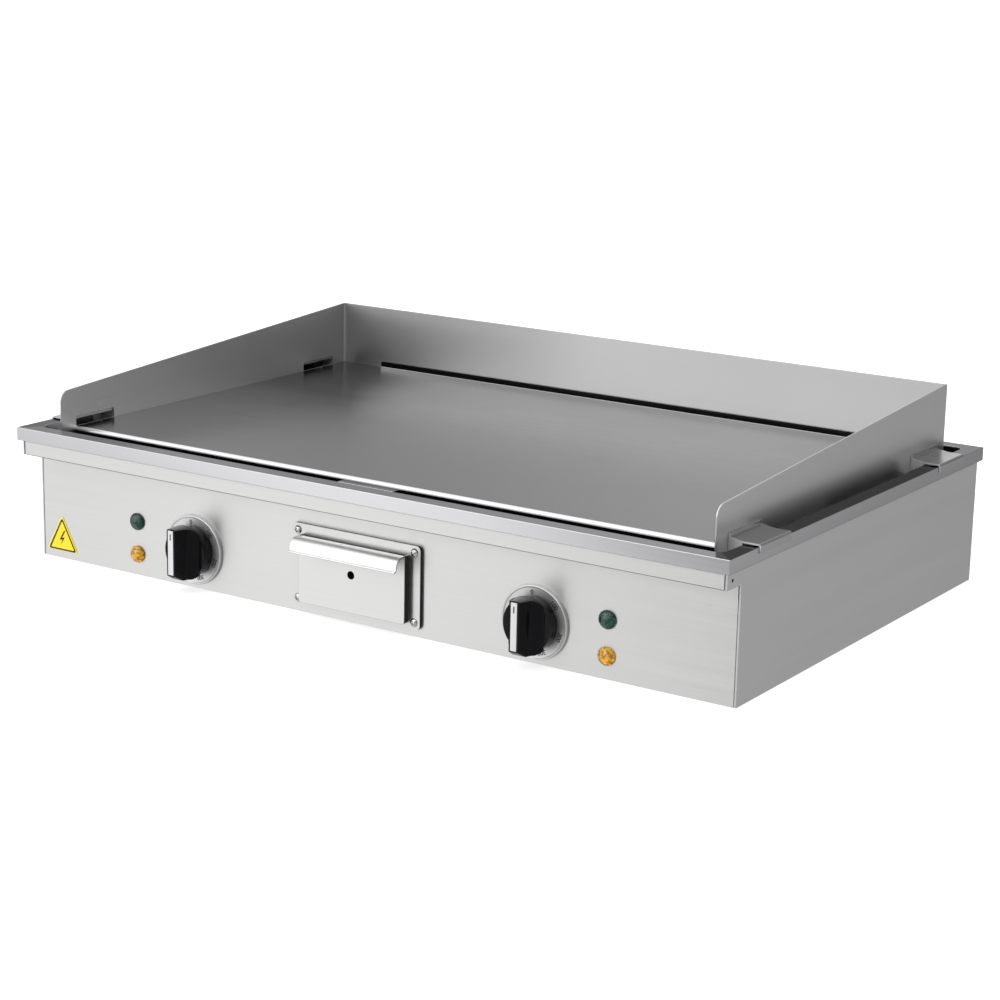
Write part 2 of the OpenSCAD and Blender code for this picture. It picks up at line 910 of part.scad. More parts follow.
// Space beside the grip bar in X and Z: its side leans out and rounds into the skirt
module scoop_outline() {
    edge_x = grip_w / 2;
    hub = [edge_x + grip_draft + scoop_r, skirt_h + scoop_r];
    rise = knob_depth - hub[1];
    run = edge_x - hub[0];
    turn = atan2(rise, run) + acos(scoop_r / sqrt(rise * rise + run * run));
    touch = hub + (scoop_r - hair) * [cos(turn), sin(turn)];
    translate(hub) circle(scoop_r);
    polygon([
        [edge_x, knob_depth + eps], [edge_x, knob_depth], touch, hub, [hub[0] + knob_edge, skirt_h],
        [knob_d, skirt_h], [knob_d, knob_depth + eps]
    ]);
}

// Knob about its own axis, pointing along +Z: a round skirt and a longer grip bar across it
module knob_shape() {
    difference() {
        union() {
            cylinder(h = skirt_h + scoop_r, r = skirt_r);
            intersection() {
                union() {
                    cylinder(h = knob_depth - knob_edge, r = knob_r);
                    translate([0, 0, knob_depth - knob_edge])
                        cylinder(h = knob_edge, r1 = knob_r, r2 = knob_r - knob_edge);
                }
                translate([-grip_base_w / 2, -skirt_r, skirt_h - knob_edge])
                    cube([grip_base_w, skirt_r + knob_r, knob_depth]);
            }
        }
        for (sx = [-1, 1]) {
            sided(sx) along_y(-knob_r - eps, knob_d + 2 * eps) scoop_outline();
        }
        translate([-knob_r, knob_r - pointer_l - knob_edge, knob_depth]) rotate([-grip_cut, 0, 0])
            translate([0, -knob_r, -knob_r]) cube([knob_d, knob_r, knob_d]);
        translate([0, 0, -eps]) cylinder(h = socket_h + eps, r = shaft_d / 2);
        translate([0, knob_r - pointer_l / 2, knob_depth])
            cube([pointer_w, pointer_l + 2 * eps, 2 * pointer_inset], center = true);
    }
}

module knob(side) {
    color(knob_black) facing_front(side * knob_x, panel_y - knob_lift, knob_z) knob_shape();
}

module left_knob() {
    knob(-1);
}

module right_knob() {
    knob(1);
}

// Metal strip let into the front of the grip bar
module pointer(side) {
    color(silver) facing_front(side * knob_x, panel_y - knob_lift, knob_z)
        translate([-pointer_w / 2, knob_r - pointer_l, knob_depth - pointer_inset])
            cube([pointer_w, pointer_l - knob_edge, pointer_t]);
}

module left_pointer() {
    pointer(-1);
}

module right_pointer() {
    pointer(1);
}

shaft_rear = thermostat_front + shaft_in - 2;

module shaft(side) {
    front = panel_y - knob_lift - socket_h;
    color(silver) facing_rear(side * knob_x, front, knob_z) cylinder(h = shaft_rear - front, r = shaft_d / 2);
}

module left_shaft() {
    shaft(-1);
}

module right_shaft() {
    shaft(1);
}

lens_r = lens_d / 2;
lens_base = 1.2;

// Lens cap: a short collar and a shallow dome on the front panel
module lamp_lens(side, drop, tint) {
    dome_h = lens_out - lens_base;
    dome_r = (lens_r * lens_r + dome_h * dome_h) / (2 * dome_h);
    color(tint) facing_front(side * lamp_x, panel_y, below(drop)) {
        cylinder(h = lens_base, r = lens_r);
        intersection() {
            translate([0, 0, lens_out - dome_r]) sphere(dome_r);
            translate([0, 0, lens_base]) cylinder(h = dome_h, r = lens_r);
        }
    }
}

module left_green_lens() {
    lamp_lens(-1, green_drop, lens_green);
}

module left_amber_lens() {
    lamp_lens(-1, amber_drop, lens_amber);
}

module right_green_lens() {
    lamp_lens(1, green_drop, lens_green);
}

module right_amber_lens() {
    lamp_lens(1, amber_drop, lens_amber);
}

housing_l = 26;
clip_t = 1;

// Calls its child at each of the four lamps, on the front panel's face
module lamp_positions() {
    for (side = [-1, 1], drop = [green_drop, amber_drop]) {
        translate([side * lamp_x, panel_y, below(drop)]) children();
    }
}

module lamp_housings() {
    color(fibre_white) lamp_positions() {
        rotate([-90, 0, 0]) cylinder(h = housing_l, r = lamp_hole_r - fit_gap);
    }
}

module lamp_clips() {
    color(silver) lamp_positions() facing_rear(0, sheet, 0) difference() {
        cylinder(h = clip_t, r = lens_r);
        translate([0, 0, -eps]) cylinder(h = clip_t + 2 * eps, r = lamp_hole_r - fit_gap);
    }
}

// ---------- Grease drawer ----------

surround_front = panel_y - surround_t;
surround_r = 4;
opening_w = 104;
opening_h = 53;
sleeve_w = opening_w + 2 * thin;
sleeve_h = opening_h + 2 * thin;
tray_gap = 0.5;
tray_w = opening_w - 2 * tray_gap;
tray_z = below(drawer_mid) - opening_h / 2 + tray_gap;
drawer_back = surround_front - drawer_gap;
face_front = drawer_back - drawer_depth;
face_back = face_front + thin;
face_drop = 8.5;
face_top = below(surround_drop + face_drop);
sleeve_front = surround_front + sheet;
sleeve_rear = face_back + tray_l + 2 * thin;

// Shallow pan round the drawer opening, its edge folded back to the front panel
module drawer_surround() {
    color(steel) difference() {
        translate([0, 0, below(drawer_mid)]) difference() {
            along_y(surround_front, surround_t) round_rect(surround_w, surround_h, surround_r);
            along_y(surround_front - eps, surround_t + 2 * eps) square([opening_w, opening_h], center = true);
            along_y(surround_front + sheet, surround_t)
                round_rect(surround_w - 2 * sheet, surround_h - 2 * sheet, surround_r - sheet);
        }
        surround_corners() facing_rear(0, surround_front - eps, 0)
            cylinder(h = sheet + 2 * eps, r = screw_hole_r);
    }
}

screw_head_r = 3.8;
screw_head_h = 2.2;
screw_l = 9;
slot_w = 1;

// Cross-head screw pointing at -Z, its head standing on z = 0
module cross_screw(head_r, head_h, length, r) {
    dome_r = (head_r * head_r + head_h * head_h) / (2 * head_h);
    difference() {
        intersection() {
            translate([0, 0, head_h - dome_r]) sphere(dome_r);
            cylinder(h = head_h, r = head_r);
        }
        for (a = [0, 90]) {
            rotate([0, 0, a]) translate([0, 0, head_h]) cube([head_r, slot_w, head_h], center = true);
        }
    }
    translate([0, 0, -length]) cylinder(h = length, r = r);
}

module surround_screws() {
    color(silver) surround_corners() facing_front(0, surround_front, 0)
        cross_screw(screw_head_r, screw_head_h, screw_l, screw_hole_r);
}

// Square tunnel behind the surround, open above for the chute
module drawer_sleeve() {
    color(steel) translate([0, 0, below(drawer_mid)]) difference() {
        along_y(sleeve_front, sleeve_rear - sleeve_front) square([sleeve_w, sleeve_h], center = true);
        along_y(sleeve_front - eps, sleeve_rear - sleeve_front - thin + eps)
            square([opening_w, opening_h], center = true);
        centred(chute_w + 2 * thin, [chute_front - thin, chute_front + chute_d + thin], [0, sleeve_h]);
    }
}

// Stand under the rear of the sleeve
module sleeve_support() {
    sleeve_base = below(drawer_mid) - sleeve_h / 2;
    y = sleeve_rear - 2 * flange;
    color(steel) {
        centred(sleeve_w, [y, y + flange], [base_t, base_t + sheet]);
        centred(sleeve_w, [y, y + sheet], [base_t, sleeve_base]);
        centred(sleeve_w, [y, y + flange], [sleeve_base - sheet, sleeve_base]);
    }
}

// Tray whose sides run forward to the drawer front, with its front wall behind it
module drawer_tray() {
    inner_w = tray_w - 2 * thin;
    floor_z = tray_z + thin;
    rim_z = tray_z + tray_h + eps;
    wall = face_back + tray_setback;
    color(steel) difference() {
        centred(tray_w, [face_back, face_back + tray_l], [tray_z, tray_z + tray_h]);
        centred(inner_w, [face_back - eps, wall], [floor_z, rim_z]);
        centred(inner_w, [wall + thin, face_back + tray_l - thin], [floor_z, rim_z]);
    }
}

face_r = 3;
drawer_hole_rise = 3.5;
lip_r = 8;
lip_curl_r = 2.5;

// Handle lip in Y and Z: level from the face, rolled down, its edge curled out
module lip_outline() {
    front = face_front - lip_out + lip_curl_r;
    curl_z = face_top - lip_drop + lip_curl_r + thin;
    translate([front + lip_r, face_top - thin]) square([face_front - front - lip_r + thin, thin]);
    translate([front + lip_r, face_top - lip_r]) bend(lip_r, thin, 90);
    translate([front, curl_z]) square([thin, face_top - lip_r - curl_z]);
    translate([front - lip_curl_r, curl_z]) bend(lip_curl_r + thin, thin, -90);
}

// Outline of the drawer front, drawn in by an inset, with its two lower corners round
module face_outline(inset) {
    w = drawer_w - 2 * inset;
    h = drawer_h - 2 * inset;
    round_rect(w, h, face_r - inset);
    translate([0, h / 4]) square([w, h / 2], center = true);
}

// Drawer front with its sides and lower edge folded back, and its top rolled out as the handle lip
module drawer_front() {
    face_mid = face_top - drawer_h / 2;
    color(steel) {
        difference() {
            translate([0, 0, face_mid]) difference() {
                along_y(face_front, drawer_depth) face_outline(0);
                for (rise = [0, 2 * thin]) {
                    translate([0, 0, rise]) along_y(face_back, drawer_depth) face_outline(thin);
                }
            }
            facing_rear(0, face_front - eps, face_mid + drawer_hole_rise)
                cylinder(h = thin + 2 * eps, r = drawer_hole_d / 2);
        }
        along_x(-drawer_w / 2, drawer_w) lip_outline();
    }
}

// ---------- Label ----------

label_x = -337.5;
label_w = 35.5;
label_h = 32;
label_drop = 117;
label_t = 0.4;
label_r = 1.5;

// Plain triangular plate at the left of the front panel
module label_plate() {
    z0 = below(label_drop);
    half = label_w / 2 - label_r;
    color(label_yellow) along_y(panel_y - label_t, label_t) hull() {
        for (p = [[-half, label_r], [half, label_r], [0, label_h - label_r]]) {
            translate([label_x + p[0], z0 + p[1]]) circle(label_r, $fn = 32);
        }
    }
}

// ---------- Electrical ----------

block_size = [66, 22, 20];
block_setback = 34;
block_y = rear_y - sheet - block_setback;
block_ways = 6;
block_pitch = 10;
block_hole_h = 6;

function block_hole_x(i) = gland_x + (i - (block_ways - 1) / 2) * block_pitch;

module terminal_block() {
    color(fibre_white) difference() {
        translate([gland_x, block_y, base_t + block_size[2] / 2]) cube(block_size, center = true);
        for (i = [0:block_ways - 1]) {
            translate([block_hole_x(i), block_y, base_t + block_size[2] - block_hole_h])
                cylinder(h = block_hole_h + eps, r = wire_r + 1);
        }
    }
}

wire_r = 1.5;
wire_z = knob_z - thermostat_h / 4 + terminal_tab[2] / 2;
wire_front = thermostat_rear + terminal_tab[1];
wire_pitch = 8;
wire_ends = [for (side = [-1, 1], t = [-1, 1]) side * knob_x + t * thermostat_w / 4];

// Insulated wires from the lower thermostat tabs to the terminal block
module wiring() {
    low = base_t + block_size[2] - block_hole_h;
    last_turn = block_y - block_size[1] / 2 - wire_pitch;
    color(plastic_grey) for (i = [0:len(wire_ends) - 1]) {
        x0 = wire_ends[i];
        x1 = block_hole_x(i + 1);
        turn = last_turn - i * wire_pitch;
        facing_rear(x0, wire_front, wire_z) cylinder(h = turn - wire_front, r = wire_r);
        translate([x0, turn, wire_z]) sphere(wire_r, $fn = 24);
        translate([x0, turn, wire_z]) rotate([0, 90, 0]) cylinder(h = x1 - x0, r = wire_r);
        translate([x1, turn, wire_z]) sphere(wire_r, $fn = 24);
        facing_rear(x1, turn, wire_z) cylinder(h = block_y - turn, r = wire_r);
        translate([x1, block_y, wire_z]) sphere(wire_r, $fn = 24);
        translate([x1, block_y, low]) cylinder(h = wire_z - low, r = wire_r);
    }
}

gland_bore_r = 6;
gland_nut_r = 16;
gland_nut_h = 9;
gland_out = 20;
gland_taper = 3;
locknut_h = 5;

// Cable gland body: a hexagon outside the rear panel and a threaded tail inside
module cable_gland() {
    color(plastic_grey) translate([gland_x, rear_y, gland_z]) difference() {
        union() {
            rotate([-90, 0, 0]) cylinder(h = gland_nut_h, r = gland_nut_r, $fn = 6);
            rotate([-90, 0, 0]) cylinder(h = gland_out - gland_taper, r = gland_hole_r);
            facing_rear(0, gland_out - gland_taper, 0)
                cylinder(h = gland_taper, r1 = gland_hole_r, r2 = gland_hole_r - gland_taper);
            facing_front(0, 0, 0) cylinder(h = sheet + gland_nut_h, r = gland_hole_r);
        }
        facing_front(0, gland_out + eps, 0) cylinder(h = gland_out + 2 * gland_nut_h, r = gland_bore_r);
    }
}

module gland_locknut() {
    color(plastic_grey) facing_front(gland_x, rear_y - sheet, gland_z) difference() {
        cylinder(h = locknut_h, r = gland_nut_r, $fn = 6);
        translate([0, 0, -eps]) cylinder(h = locknut_h + 2 * eps, r = gland_hole_r);
    }
}

earth_out = 14;
earth_nut_r = 4.6;
earth_nut_h = 4;

// Equipotential stud through the rear panel, with its two nuts
module earth_stud() {
    color(brass_gold) translate([earth_x, rear_y, earth_z]) {
        facing_rear(0, -earth_out, 0) cylinder(h = 2 * earth_out, r = earth_r);
        rotate([-90, 0, 0]) cylinder(h = earth_nut_h, r = earth_nut_r, $fn = 6);
        facing_front(0, -sheet, 0) cylinder(h = earth_nut_h, r = earth_nut_r, $fn = 6);
    }
}

panel_screw_r = 2;
panel_head_r = 4;
panel_head_h = 1.2;
panel_screw_l = 8;

module panel_screws() {
    color(silver) for (p = rear_points) {
        facing_rear(p[0], rear_y, p[1]) cross_screw(panel_head_r, panel_head_h, panel_screw_l, panel_screw_r);
    }
}

base_screw_y = 150;
base_screw_points = [for (sx = [-1, 1], sy = [-1, 1]) [sx * rear_screw_x, sy * base_screw_y]];

// Countersunk screws flush with the base
module base_screws() {
    color(silver) for (p = base_screw_points) {
        translate([p[0], p[1], 0]) {
            countersink();
            cylinder(h = panel_screw_l, r = panel_screw_r);
        }
    }
}

top_frame();
front_apron();
front_panel();
left_side_panel();
right_side_panel();
rear_panel();
base_plate();
foot_bushes();
griddle_plate();
support_frame();
rear_guard();
left_guard();
right_guard();
front_left_bracket();
front_right_bracket();
rear_left_bracket();
rear_right_bracket();
plate_spout();
grease_trough();
grease_chute();
heat_shield();
insulation_slab();
left_heating_element();
right_heating_element();
clamp_bars();
clamp_studs();
clamp_nuts();
left_sensor();
right_sensor();
left_thermostat();
right_thermostat();
safety_thermostats();
left_dial();
right_dial();
left_knob();
right_knob();
left_pointer();
right_pointer();
left_shaft();
right_shaft();
left_green_lens();
left_amber_lens();
right_green_lens();
right_amber_lens();
lamp_housings();
lamp_clips();
drawer_surround();
surround_screws();
drawer_sleeve();
sleeve_support();
drawer_tray();
drawer_front();
label_plate();
terminal_block();
wiring();
cable_gland();
gland_locknut();
earth_stud();
panel_screws();
base_screws();
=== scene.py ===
import math

import bmesh
import bpy
from mathutils import Matrix, Vector

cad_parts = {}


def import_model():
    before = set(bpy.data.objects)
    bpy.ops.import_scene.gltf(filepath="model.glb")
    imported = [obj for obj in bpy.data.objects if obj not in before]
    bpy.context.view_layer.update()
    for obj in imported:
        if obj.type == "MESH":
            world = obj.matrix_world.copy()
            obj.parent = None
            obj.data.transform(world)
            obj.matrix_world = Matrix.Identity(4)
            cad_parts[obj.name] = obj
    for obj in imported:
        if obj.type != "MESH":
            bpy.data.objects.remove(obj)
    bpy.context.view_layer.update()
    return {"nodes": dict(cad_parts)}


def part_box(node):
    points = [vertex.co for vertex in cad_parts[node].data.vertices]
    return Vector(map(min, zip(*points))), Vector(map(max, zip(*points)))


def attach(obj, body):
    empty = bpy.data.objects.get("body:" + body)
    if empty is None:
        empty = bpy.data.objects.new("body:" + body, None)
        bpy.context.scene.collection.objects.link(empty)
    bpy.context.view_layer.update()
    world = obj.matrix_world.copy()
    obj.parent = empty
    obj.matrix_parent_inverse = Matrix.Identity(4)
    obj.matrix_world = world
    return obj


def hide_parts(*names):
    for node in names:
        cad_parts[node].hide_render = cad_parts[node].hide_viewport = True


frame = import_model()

NODES = frame["nodes"]
SCENE = bpy.context.scene
MM = 0.001


# ---------------------------------------------------------------- materials

# The Mix node's A, B and Result sockets for each type of data.
MIX_SOCKETS = {"FLOAT": (2, 3, 0), "VECTOR": (4, 5, 1), "RGBA": (6, 7, 2)}
# Where most of a noise's values lie.
NOISE_LOW, NOISE_HIGH = 0.3, 0.7


class Paint:
    """A Principled material with short calls for its nodes."""

    def __init__(self, name, rough, metallic, color):
        self.mat = bpy.data.materials.new(name)
        self.mat.use_nodes = True
        self.tree = self.mat.node_tree
        self.bsdf = self.tree.nodes["Principled BSDF"]
        self.set("Roughness", rough)
        self.set("Metallic", metallic)
        self.set("Base Color", (*color, 1))
        self.coords = self.add("ShaderNodeTexCoord")
        self.local = self.coords.outputs["Object"]

    def set(self, socket, value):
        self.bsdf.inputs[socket].default_value = value

    def link(self, a, b):
        self.tree.links.new(a, b)

    def add(self, kind, inputs=None, **settings):
        node = self.tree.nodes.new(kind)
        for key, value in settings.items():
            setattr(node, key, value)
        for key, value in (inputs or {}).items():
            if isinstance(value, bpy.types.NodeSocket):
                self.link(value, node.inputs[key])
            else:
                node.inputs[key].default_value = value
        return node

    def stretched(self, scale, turn=(0, 0, 0)):
        """The object's own space, scaled by axis and turned."""
        node = self.add("ShaderNodeMapping", {"Vector": self.local})
        node.inputs["Scale"].default_value = scale
        node.inputs["Rotation"].default_value = turn
        return node.outputs["Vector"]

    def noise(self, vector, scale=1.0, detail=2.0, rough=0.5):
        node = self.add("ShaderNodeTexNoise", {"Vector": vector, "Scale": scale, "Detail": detail,
                                               "Roughness": rough})
        return node.outputs["Fac"]

    def ranged(self, value, low, high, from_low=0.0, from_high=1.0):
        """The value's range from_low to from_high spread over low to high."""
        node = self.add("ShaderNodeMapRange", {"Value": value, "From Min": from_low, "From Max": from_high,
                                               "To Min": low, "To Max": high})
        return node.outputs["Result"]

    def math(self, operation, a, b=None):
        node = self.add("ShaderNodeMath", operation=operation)
        for i, value in enumerate([a] if b is None else [a, b]):
            if isinstance(value, (int, float)):
                node.inputs[i].default_value = value
            else:
                self.link(value, node.inputs[i])
        return node.outputs[0]

    def place(self, axis):
        """One of the point's coordinates in the object's own space."""
        return self.add("ShaderNodeSeparateXYZ", {0: self.local}).outputs[axis]

    def normal(self, axis):
        """One of the surface normal's coordinates in the object's own space."""
        return self.add("ShaderNodeSeparateXYZ", {0: self.coords.outputs["Normal"]}).outputs[axis]

    def blend(self, factor, a, b, kind="FLOAT"):
        """From a to b as the factor goes from 0 to 1."""
        first, second, result = MIX_SOCKETS[kind]
        node = self.add("ShaderNodeMix", data_type=kind)
        self.link(factor, node.inputs[0])
        self.link(a, node.inputs[first])
        self.link(b, node.inputs[second])
        return node.outputs[result]

    def ramp(self, value, stops):
        node = self.add("ShaderNodeValToRGB", {"Fac": value})
        elements = node.color_ramp.elements
        while len(elements) < len(stops):
            elements.new(0.5)
        for element, (place, color) in zip(elements, stops):
            element.position = place
            element.color = (*color, 1)
        return node.outputs["Color"]

    def color(self, socket):
        self.link(socket, self.bsdf.inputs["Base Color"])

    def rough(self, socket):
        self.link(socket, self.bsdf.inputs["Roughness"])

    def painted_shading(self, shown, mask, color):
        """Another colour where the mask is 1: painted light and shade."""
        first, second, result = MIX_SOCKETS["RGBA"]
        mix = self.add("ShaderNodeMix", data_type="RGBA")
        self.link(mask, mix.inputs[0])
        self.link(shown, mix.inputs[first])
        mix.inputs[second].default_value = (*color, 1)
        return mix.outputs[result]

    def bump(self, height, strength, distance):
        node = self.add("ShaderNodeBump", {"Height": height, "Strength": strength, "Distance": distance})
        self.link(node.outputs["Normal"], self.bsdf.inputs["Normal"])


def shade(color, factor):
    return tuple(min(1.0, c * factor) for c in color)


# Brushed steel: the lines and the broad streaks are noise drawn out along the brushing.
LINE_RUN, STREAK_RUN = 4.0, 1.5
LINES_PER_STREAK = 12
LINE_SHARE = 0.6
SMUDGE_SCALE = 9.0
LINE_DEPTH = 0.2 * MM
BRIGHT_SPREAD, SHADING_SPREAD = 0.04, 0.05
QUARTER_TURN = 0.25
LEVEL_FACE = 0.7


def brushed(name, color, along, rough, spread=0.05, tone=0.03, aniso=0.6, lines=900, bump=0.04,
            smudge=0.015, painted_shading=None, shading_share=0.15, shading_rough=None, bright=None, grazing=1.0):
    """Brushed sheet steel whose lines run along X or Y, or round a frame, with streaks and smudges.

    The painted shading is a mask of painted light and shade, with its share of the colour and its
    roughness; bright is a mask of painted highlights and painted reflections, with its own colour
    and roughness; grazing is how much of the light a glancing view reflects.
    """
    p = Paint(name, rough, metallic=1.0, color=color)
    across = side_mask(p) if along == "XY" else None

    def drawn_out(run, scale, **look):
        def along_x():
            return p.noise(p.stretched((run, scale, scale)), **look)

        def along_y():
            return p.noise(p.stretched((scale, run, scale)), **look)

        if along == "XY":
            return p.blend(across, along_x(), along_y())
        return along_x() if along == "X" else along_y()

    fine = drawn_out(LINE_RUN, lines, detail=3.0, rough=0.6)
    broad = drawn_out(STREAK_RUN, lines / LINES_PER_STREAK)
    cloud = p.noise(p.local, SMUDGE_SCALE, detail=3.0, rough=0.55)
    mixed = p.math("ADD", p.math("MULTIPLY", fine, LINE_SHARE), p.math("MULTIPLY", broad, 1 - LINE_SHARE))
    shown = p.ramp(mixed, [(NOISE_LOW, shade(color, 1 - tone)), (NOISE_HIGH, shade(color, 1 + tone))])
    marks = p.ranged(cloud, -smudge, smudge, NOISE_LOW, NOISE_HIGH)
    worn = p.math("ADD", p.ranged(mixed, rough - spread, rough + spread, NOISE_LOW, NOISE_HIGH), marks)
    # Painted highlights and painted reflections: bright's mask takes its own colour and roughness.
    if bright:
        mask, bright_color, bright_rough = bright
        area = mask(p)
        shown = p.painted_shading(shown, area, bright_color)
        worn = p.blend(area, worn, p.ranged(fine, bright_rough - BRIGHT_SPREAD, bright_rough + BRIGHT_SPREAD))
    # Painted light and shade: the mask's area takes a share of the colour and may get its own roughness.
    if painted_shading:
        area = painted_shading(p)
        shown = p.painted_shading(shown, area, shade(color, shading_share))
        if shading_rough:
            worn = p.blend(area, worn, p.ranged(fine, shading_rough - SHADING_SPREAD, shading_rough + SHADING_SPREAD))
    p.color(shown)
    p.rough(worn)
    p.bump(fine, bump, LINE_DEPTH)
    p.set("Specular Tint", (grazing, grazing, grazing, 1))
    p.set("Anisotropic", aniso)
    p.set("Anisotropic Rotation", QUARTER_TURN)

    def tangent(axis):
        return p.add("ShaderNodeTangent", direction_type="RADIAL", axis=axis).outputs["Tangent"]

    if along == "XY":
        upright = p.blend(across, tangent("Y"), tangent("X"), "VECTOR")
    else:
        upright = tangent("Y" if along == "X" else "X")
    level = p.math("GREATER_THAN", p.math("ABSOLUTE", p.normal("Z")), LEVEL_FACE)
    p.link(p.blend(level, tangent("Z"), upright, "VECTOR"), p.bsdf.inputs["Tangent"])
    return p


def centre(node):
    """The middle of a node's box, and the box's two corners."""
    low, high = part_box(node)
    return (low + high) / 2, low, high


# Masks: the bounds of a region on a node, or a share of the normal. The first two bound nothing.
PAST_NONE, PAST_ALL = -0.01, 1.01
RIM_EDGE = 6 * MM
RIM_SHEET = 1.2 * MM
# Share of the painted shade on the frame's strips beside the guards.
STRIP_SHADE = 0.6
# Height of the painted shadow along the apron's lower edge.
APRON_SHADOW = 0.8 * MM
LIP_DEPTH = 14 * MM
DOWNWARD = -0.35
UPWARD = 0.9
NOSE_FRONT, NOSE_TOP = -0.2, 0.45
PLATE_SIDE = 0.12
PAN_EDGE = 0.55
FOLD_FACE, WEB_FACE = 0.6, 0.7


def side_mask(p):
    """1 on the frame's side strips, 0 on its front and rear ones, meeting at a mitre."""
    mid, low, high = centre("top_frame")
    half = (high - low) / 2
    x = p.math("SUBTRACT", p.math("ABSOLUTE", p.place("X")), half.x)
    y = p.math("SUBTRACT", p.math("ABSOLUTE", p.math("SUBTRACT", p.place("Y"), mid.y)), half.y)
    return p.math("GREATER_THAN", x, y)


def both(p, *masks):
    """1 where every mask is 1."""
    result = masks[0]
    for mask in masks[1:]:
        result = p.math("MULTIPLY", result, mask)
    return result


def facing(p, axis, low=PAST_NONE, high=PAST_ALL):
    """1 where the size of the normal's share of the axis is between the two."""
    share = p.math("ABSOLUTE", p.normal(axis))
    return both(p, p.math("GREATER_THAN", share, low), p.math("LESS_THAN", share, high))


def upward(p):
    """1 on faces that look up."""
    return p.math("GREATER_THAN", p.normal("Z"), UPWARD)


def lower_edge(p):
    """1 on faces that look down, or lean that way."""
    return p.math("LESS_THAN", p.normal("Z"), DOWNWARD)


def rim_painted_shade(p):
    """Painted shade on the frame: the wall behind the plate, the strips beside the guards, faces turned down.
    """
    mid, low, high = centre("top_frame")
    wall = both(p, p.math("LESS_THAN", p.math("ABSOLUTE", p.place("X")), high.x - RIM_EDGE),
                p.math("GREATER_THAN", p.place("Y"), mid.y),
                p.math("LESS_THAN", p.place("Y"), high.y - RIM_EDGE),
                p.math("LESS_THAN", p.place("Z"), high.z - RIM_SHEET))
    ahead = p.math("LESS_THAN", p.place("Y"), centre("rear_right_bracket")[0].y)
    strips = both(p, side_mask(p), upward(p), ahead)
    return p.math("MAXIMUM", p.math("MAXIMUM", wall, lower_edge(p)), p.math("MULTIPLY", strips, STRIP_SHADE))


def apron_painted_shadow(p):
    """Painted shadow: the apron's lowest edge, painted dark for the shadow line below it."""
    return p.math("LESS_THAN", p.place("Z"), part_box("front_apron")[0].z + APRON_SHADOW)


def plate_side_shade(p):
    """The plate's upright sides, painted dark: painted shade."""
    return facing(p, "Z", high=PLATE_SIDE)


def plate_nose_highlight(p):
    """The plate's rounded front edge, painted bright: a painted highlight."""
    return both(p, p.math("LESS_THAN", p.normal("Y"), NOSE_FRONT),
                p.math("GREATER_THAN", p.normal("Z"), NOSE_TOP))


def lip(p):
    """The drawer front's rolled lip, painted near white: a painted sheen."""
    return p.math("LESS_THAN", p.place("Y"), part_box("drawer_front")[0].y + LIP_DEPTH)


def drawer_edge_shade(p):
    """The folded edges beside and below the drawer, painted dark: painted shade."""
    return p.math("MAXIMUM", facing(p, "X", FOLD_FACE), lower_edge(p))


def pan_edge_shade(p):
    """The sides of the surround's pan and of its screws, which look neither forwards nor back, painted dark:
    painted shade.
    """
    return facing(p, "Y", high=PAN_EDGE)


def lit_webs(p):
    """The brackets' end webs, painted lighter and rougher: painted light."""
    return facing(p, "Y", WEB_FACE)


GRAIN_SCALE, WEAR_SCALE = 900, 40.0
GRAIN_DEPTH = 0.1 * MM
GRAIN_SHARE = 0.5
WEAR_LOW, WEAR_HIGH = 0.8, 1.2


def cast(name, color, rough, metallic=0.0, bump=0.1, tone=0.08, painted_shading=None, shading_share=0.1, specular=0.5):
    """Moulded, plated or painted surface with a fine grain and slight wear."""
    p = Paint(name, rough, metallic, color)
    fine = p.noise(p.local, GRAIN_SCALE, detail=3.0, rough=0.6)
    cloud = p.noise(p.local, WEAR_SCALE)
    mixed = p.math("ADD", p.math("MULTIPLY", fine, GRAIN_SHARE), p.math("MULTIPLY", cloud, 1 - GRAIN_SHARE))
    shown = p.ramp(mixed, [(NOISE_LOW, shade(color, 1 - tone)), (NOISE_HIGH, shade(color, 1 + tone))])
    # Painted shade: where a mask is given, its area is painted darker.
    p.color(p.painted_shading(shown, painted_shading(p), shade(color, shading_share)) if painted_shading else shown)
    p.rough(p.ranged(mixed, rough * WEAR_LOW, rough * WEAR_HIGH, NOISE_LOW, NOISE_HIGH))
    p.bump(fine, bump, GRAIN_DEPTH)
    p.set("Specular IOR Level", specular)
    return p


LENS_GRAIN = 420.0
LENS_GLOSS, LENS_DULL = 0.06, 0.16


def lens_paint(name, color, deep):
    """Clear coloured plastic, glossy, with a slight cloud from the deep colour to the light one."""
    p = Paint(name, rough=0.12, metallic=0.0, color=color)
    grain = p.noise(p.local, LENS_GRAIN)
    p.color(p.ramp(grain, [(0.4, deep), (0.6, color)]))
    p.rough(p.ranged(grain, LENS_GLOSS, LENS_DULL, NOISE_LOW, NOISE_HIGH))
    p.set("Subsurface Weight", 0.1)
    p.set("Subsurface Radius", (4 * MM, 3 * MM, 2 * MM))
    p.set("Coat Weight", 0.6)
    p.set("Coat Roughness", 0.05)
    return p


STRAND_SCALE, STRAND_TURN = (60, 900, 300), (0.2, 0.3, 0.6)
LUMP_SCALE, LUMP_DEPTH = 60.0, 2 * MM
STRAND_SHADE = 0.75


def fibre_paint(name, color):
    """Matt felt of loose strands."""
    p = Paint(name, rough=0.95, metallic=0.0, color=color)
    strands = p.noise(p.stretched(STRAND_SCALE, STRAND_TURN), detail=4.0, rough=0.7)
    lumps = p.noise(p.local, LUMP_SCALE, detail=3.0)
    p.color(p.ramp(p.math("MULTIPLY", strands, lumps), [(0.1, shade(color, STRAND_SHADE)), (0.4, color)]))
    p.bump(lumps, strength=0.6, distance=LUMP_DEPTH)
    return p


CRYSTAL_SCALE = 90.0
CRYSTAL_DARK, CRYSTAL_LIGHT = 0.85, 1.1
CRYSTAL_SPREAD = 0.08


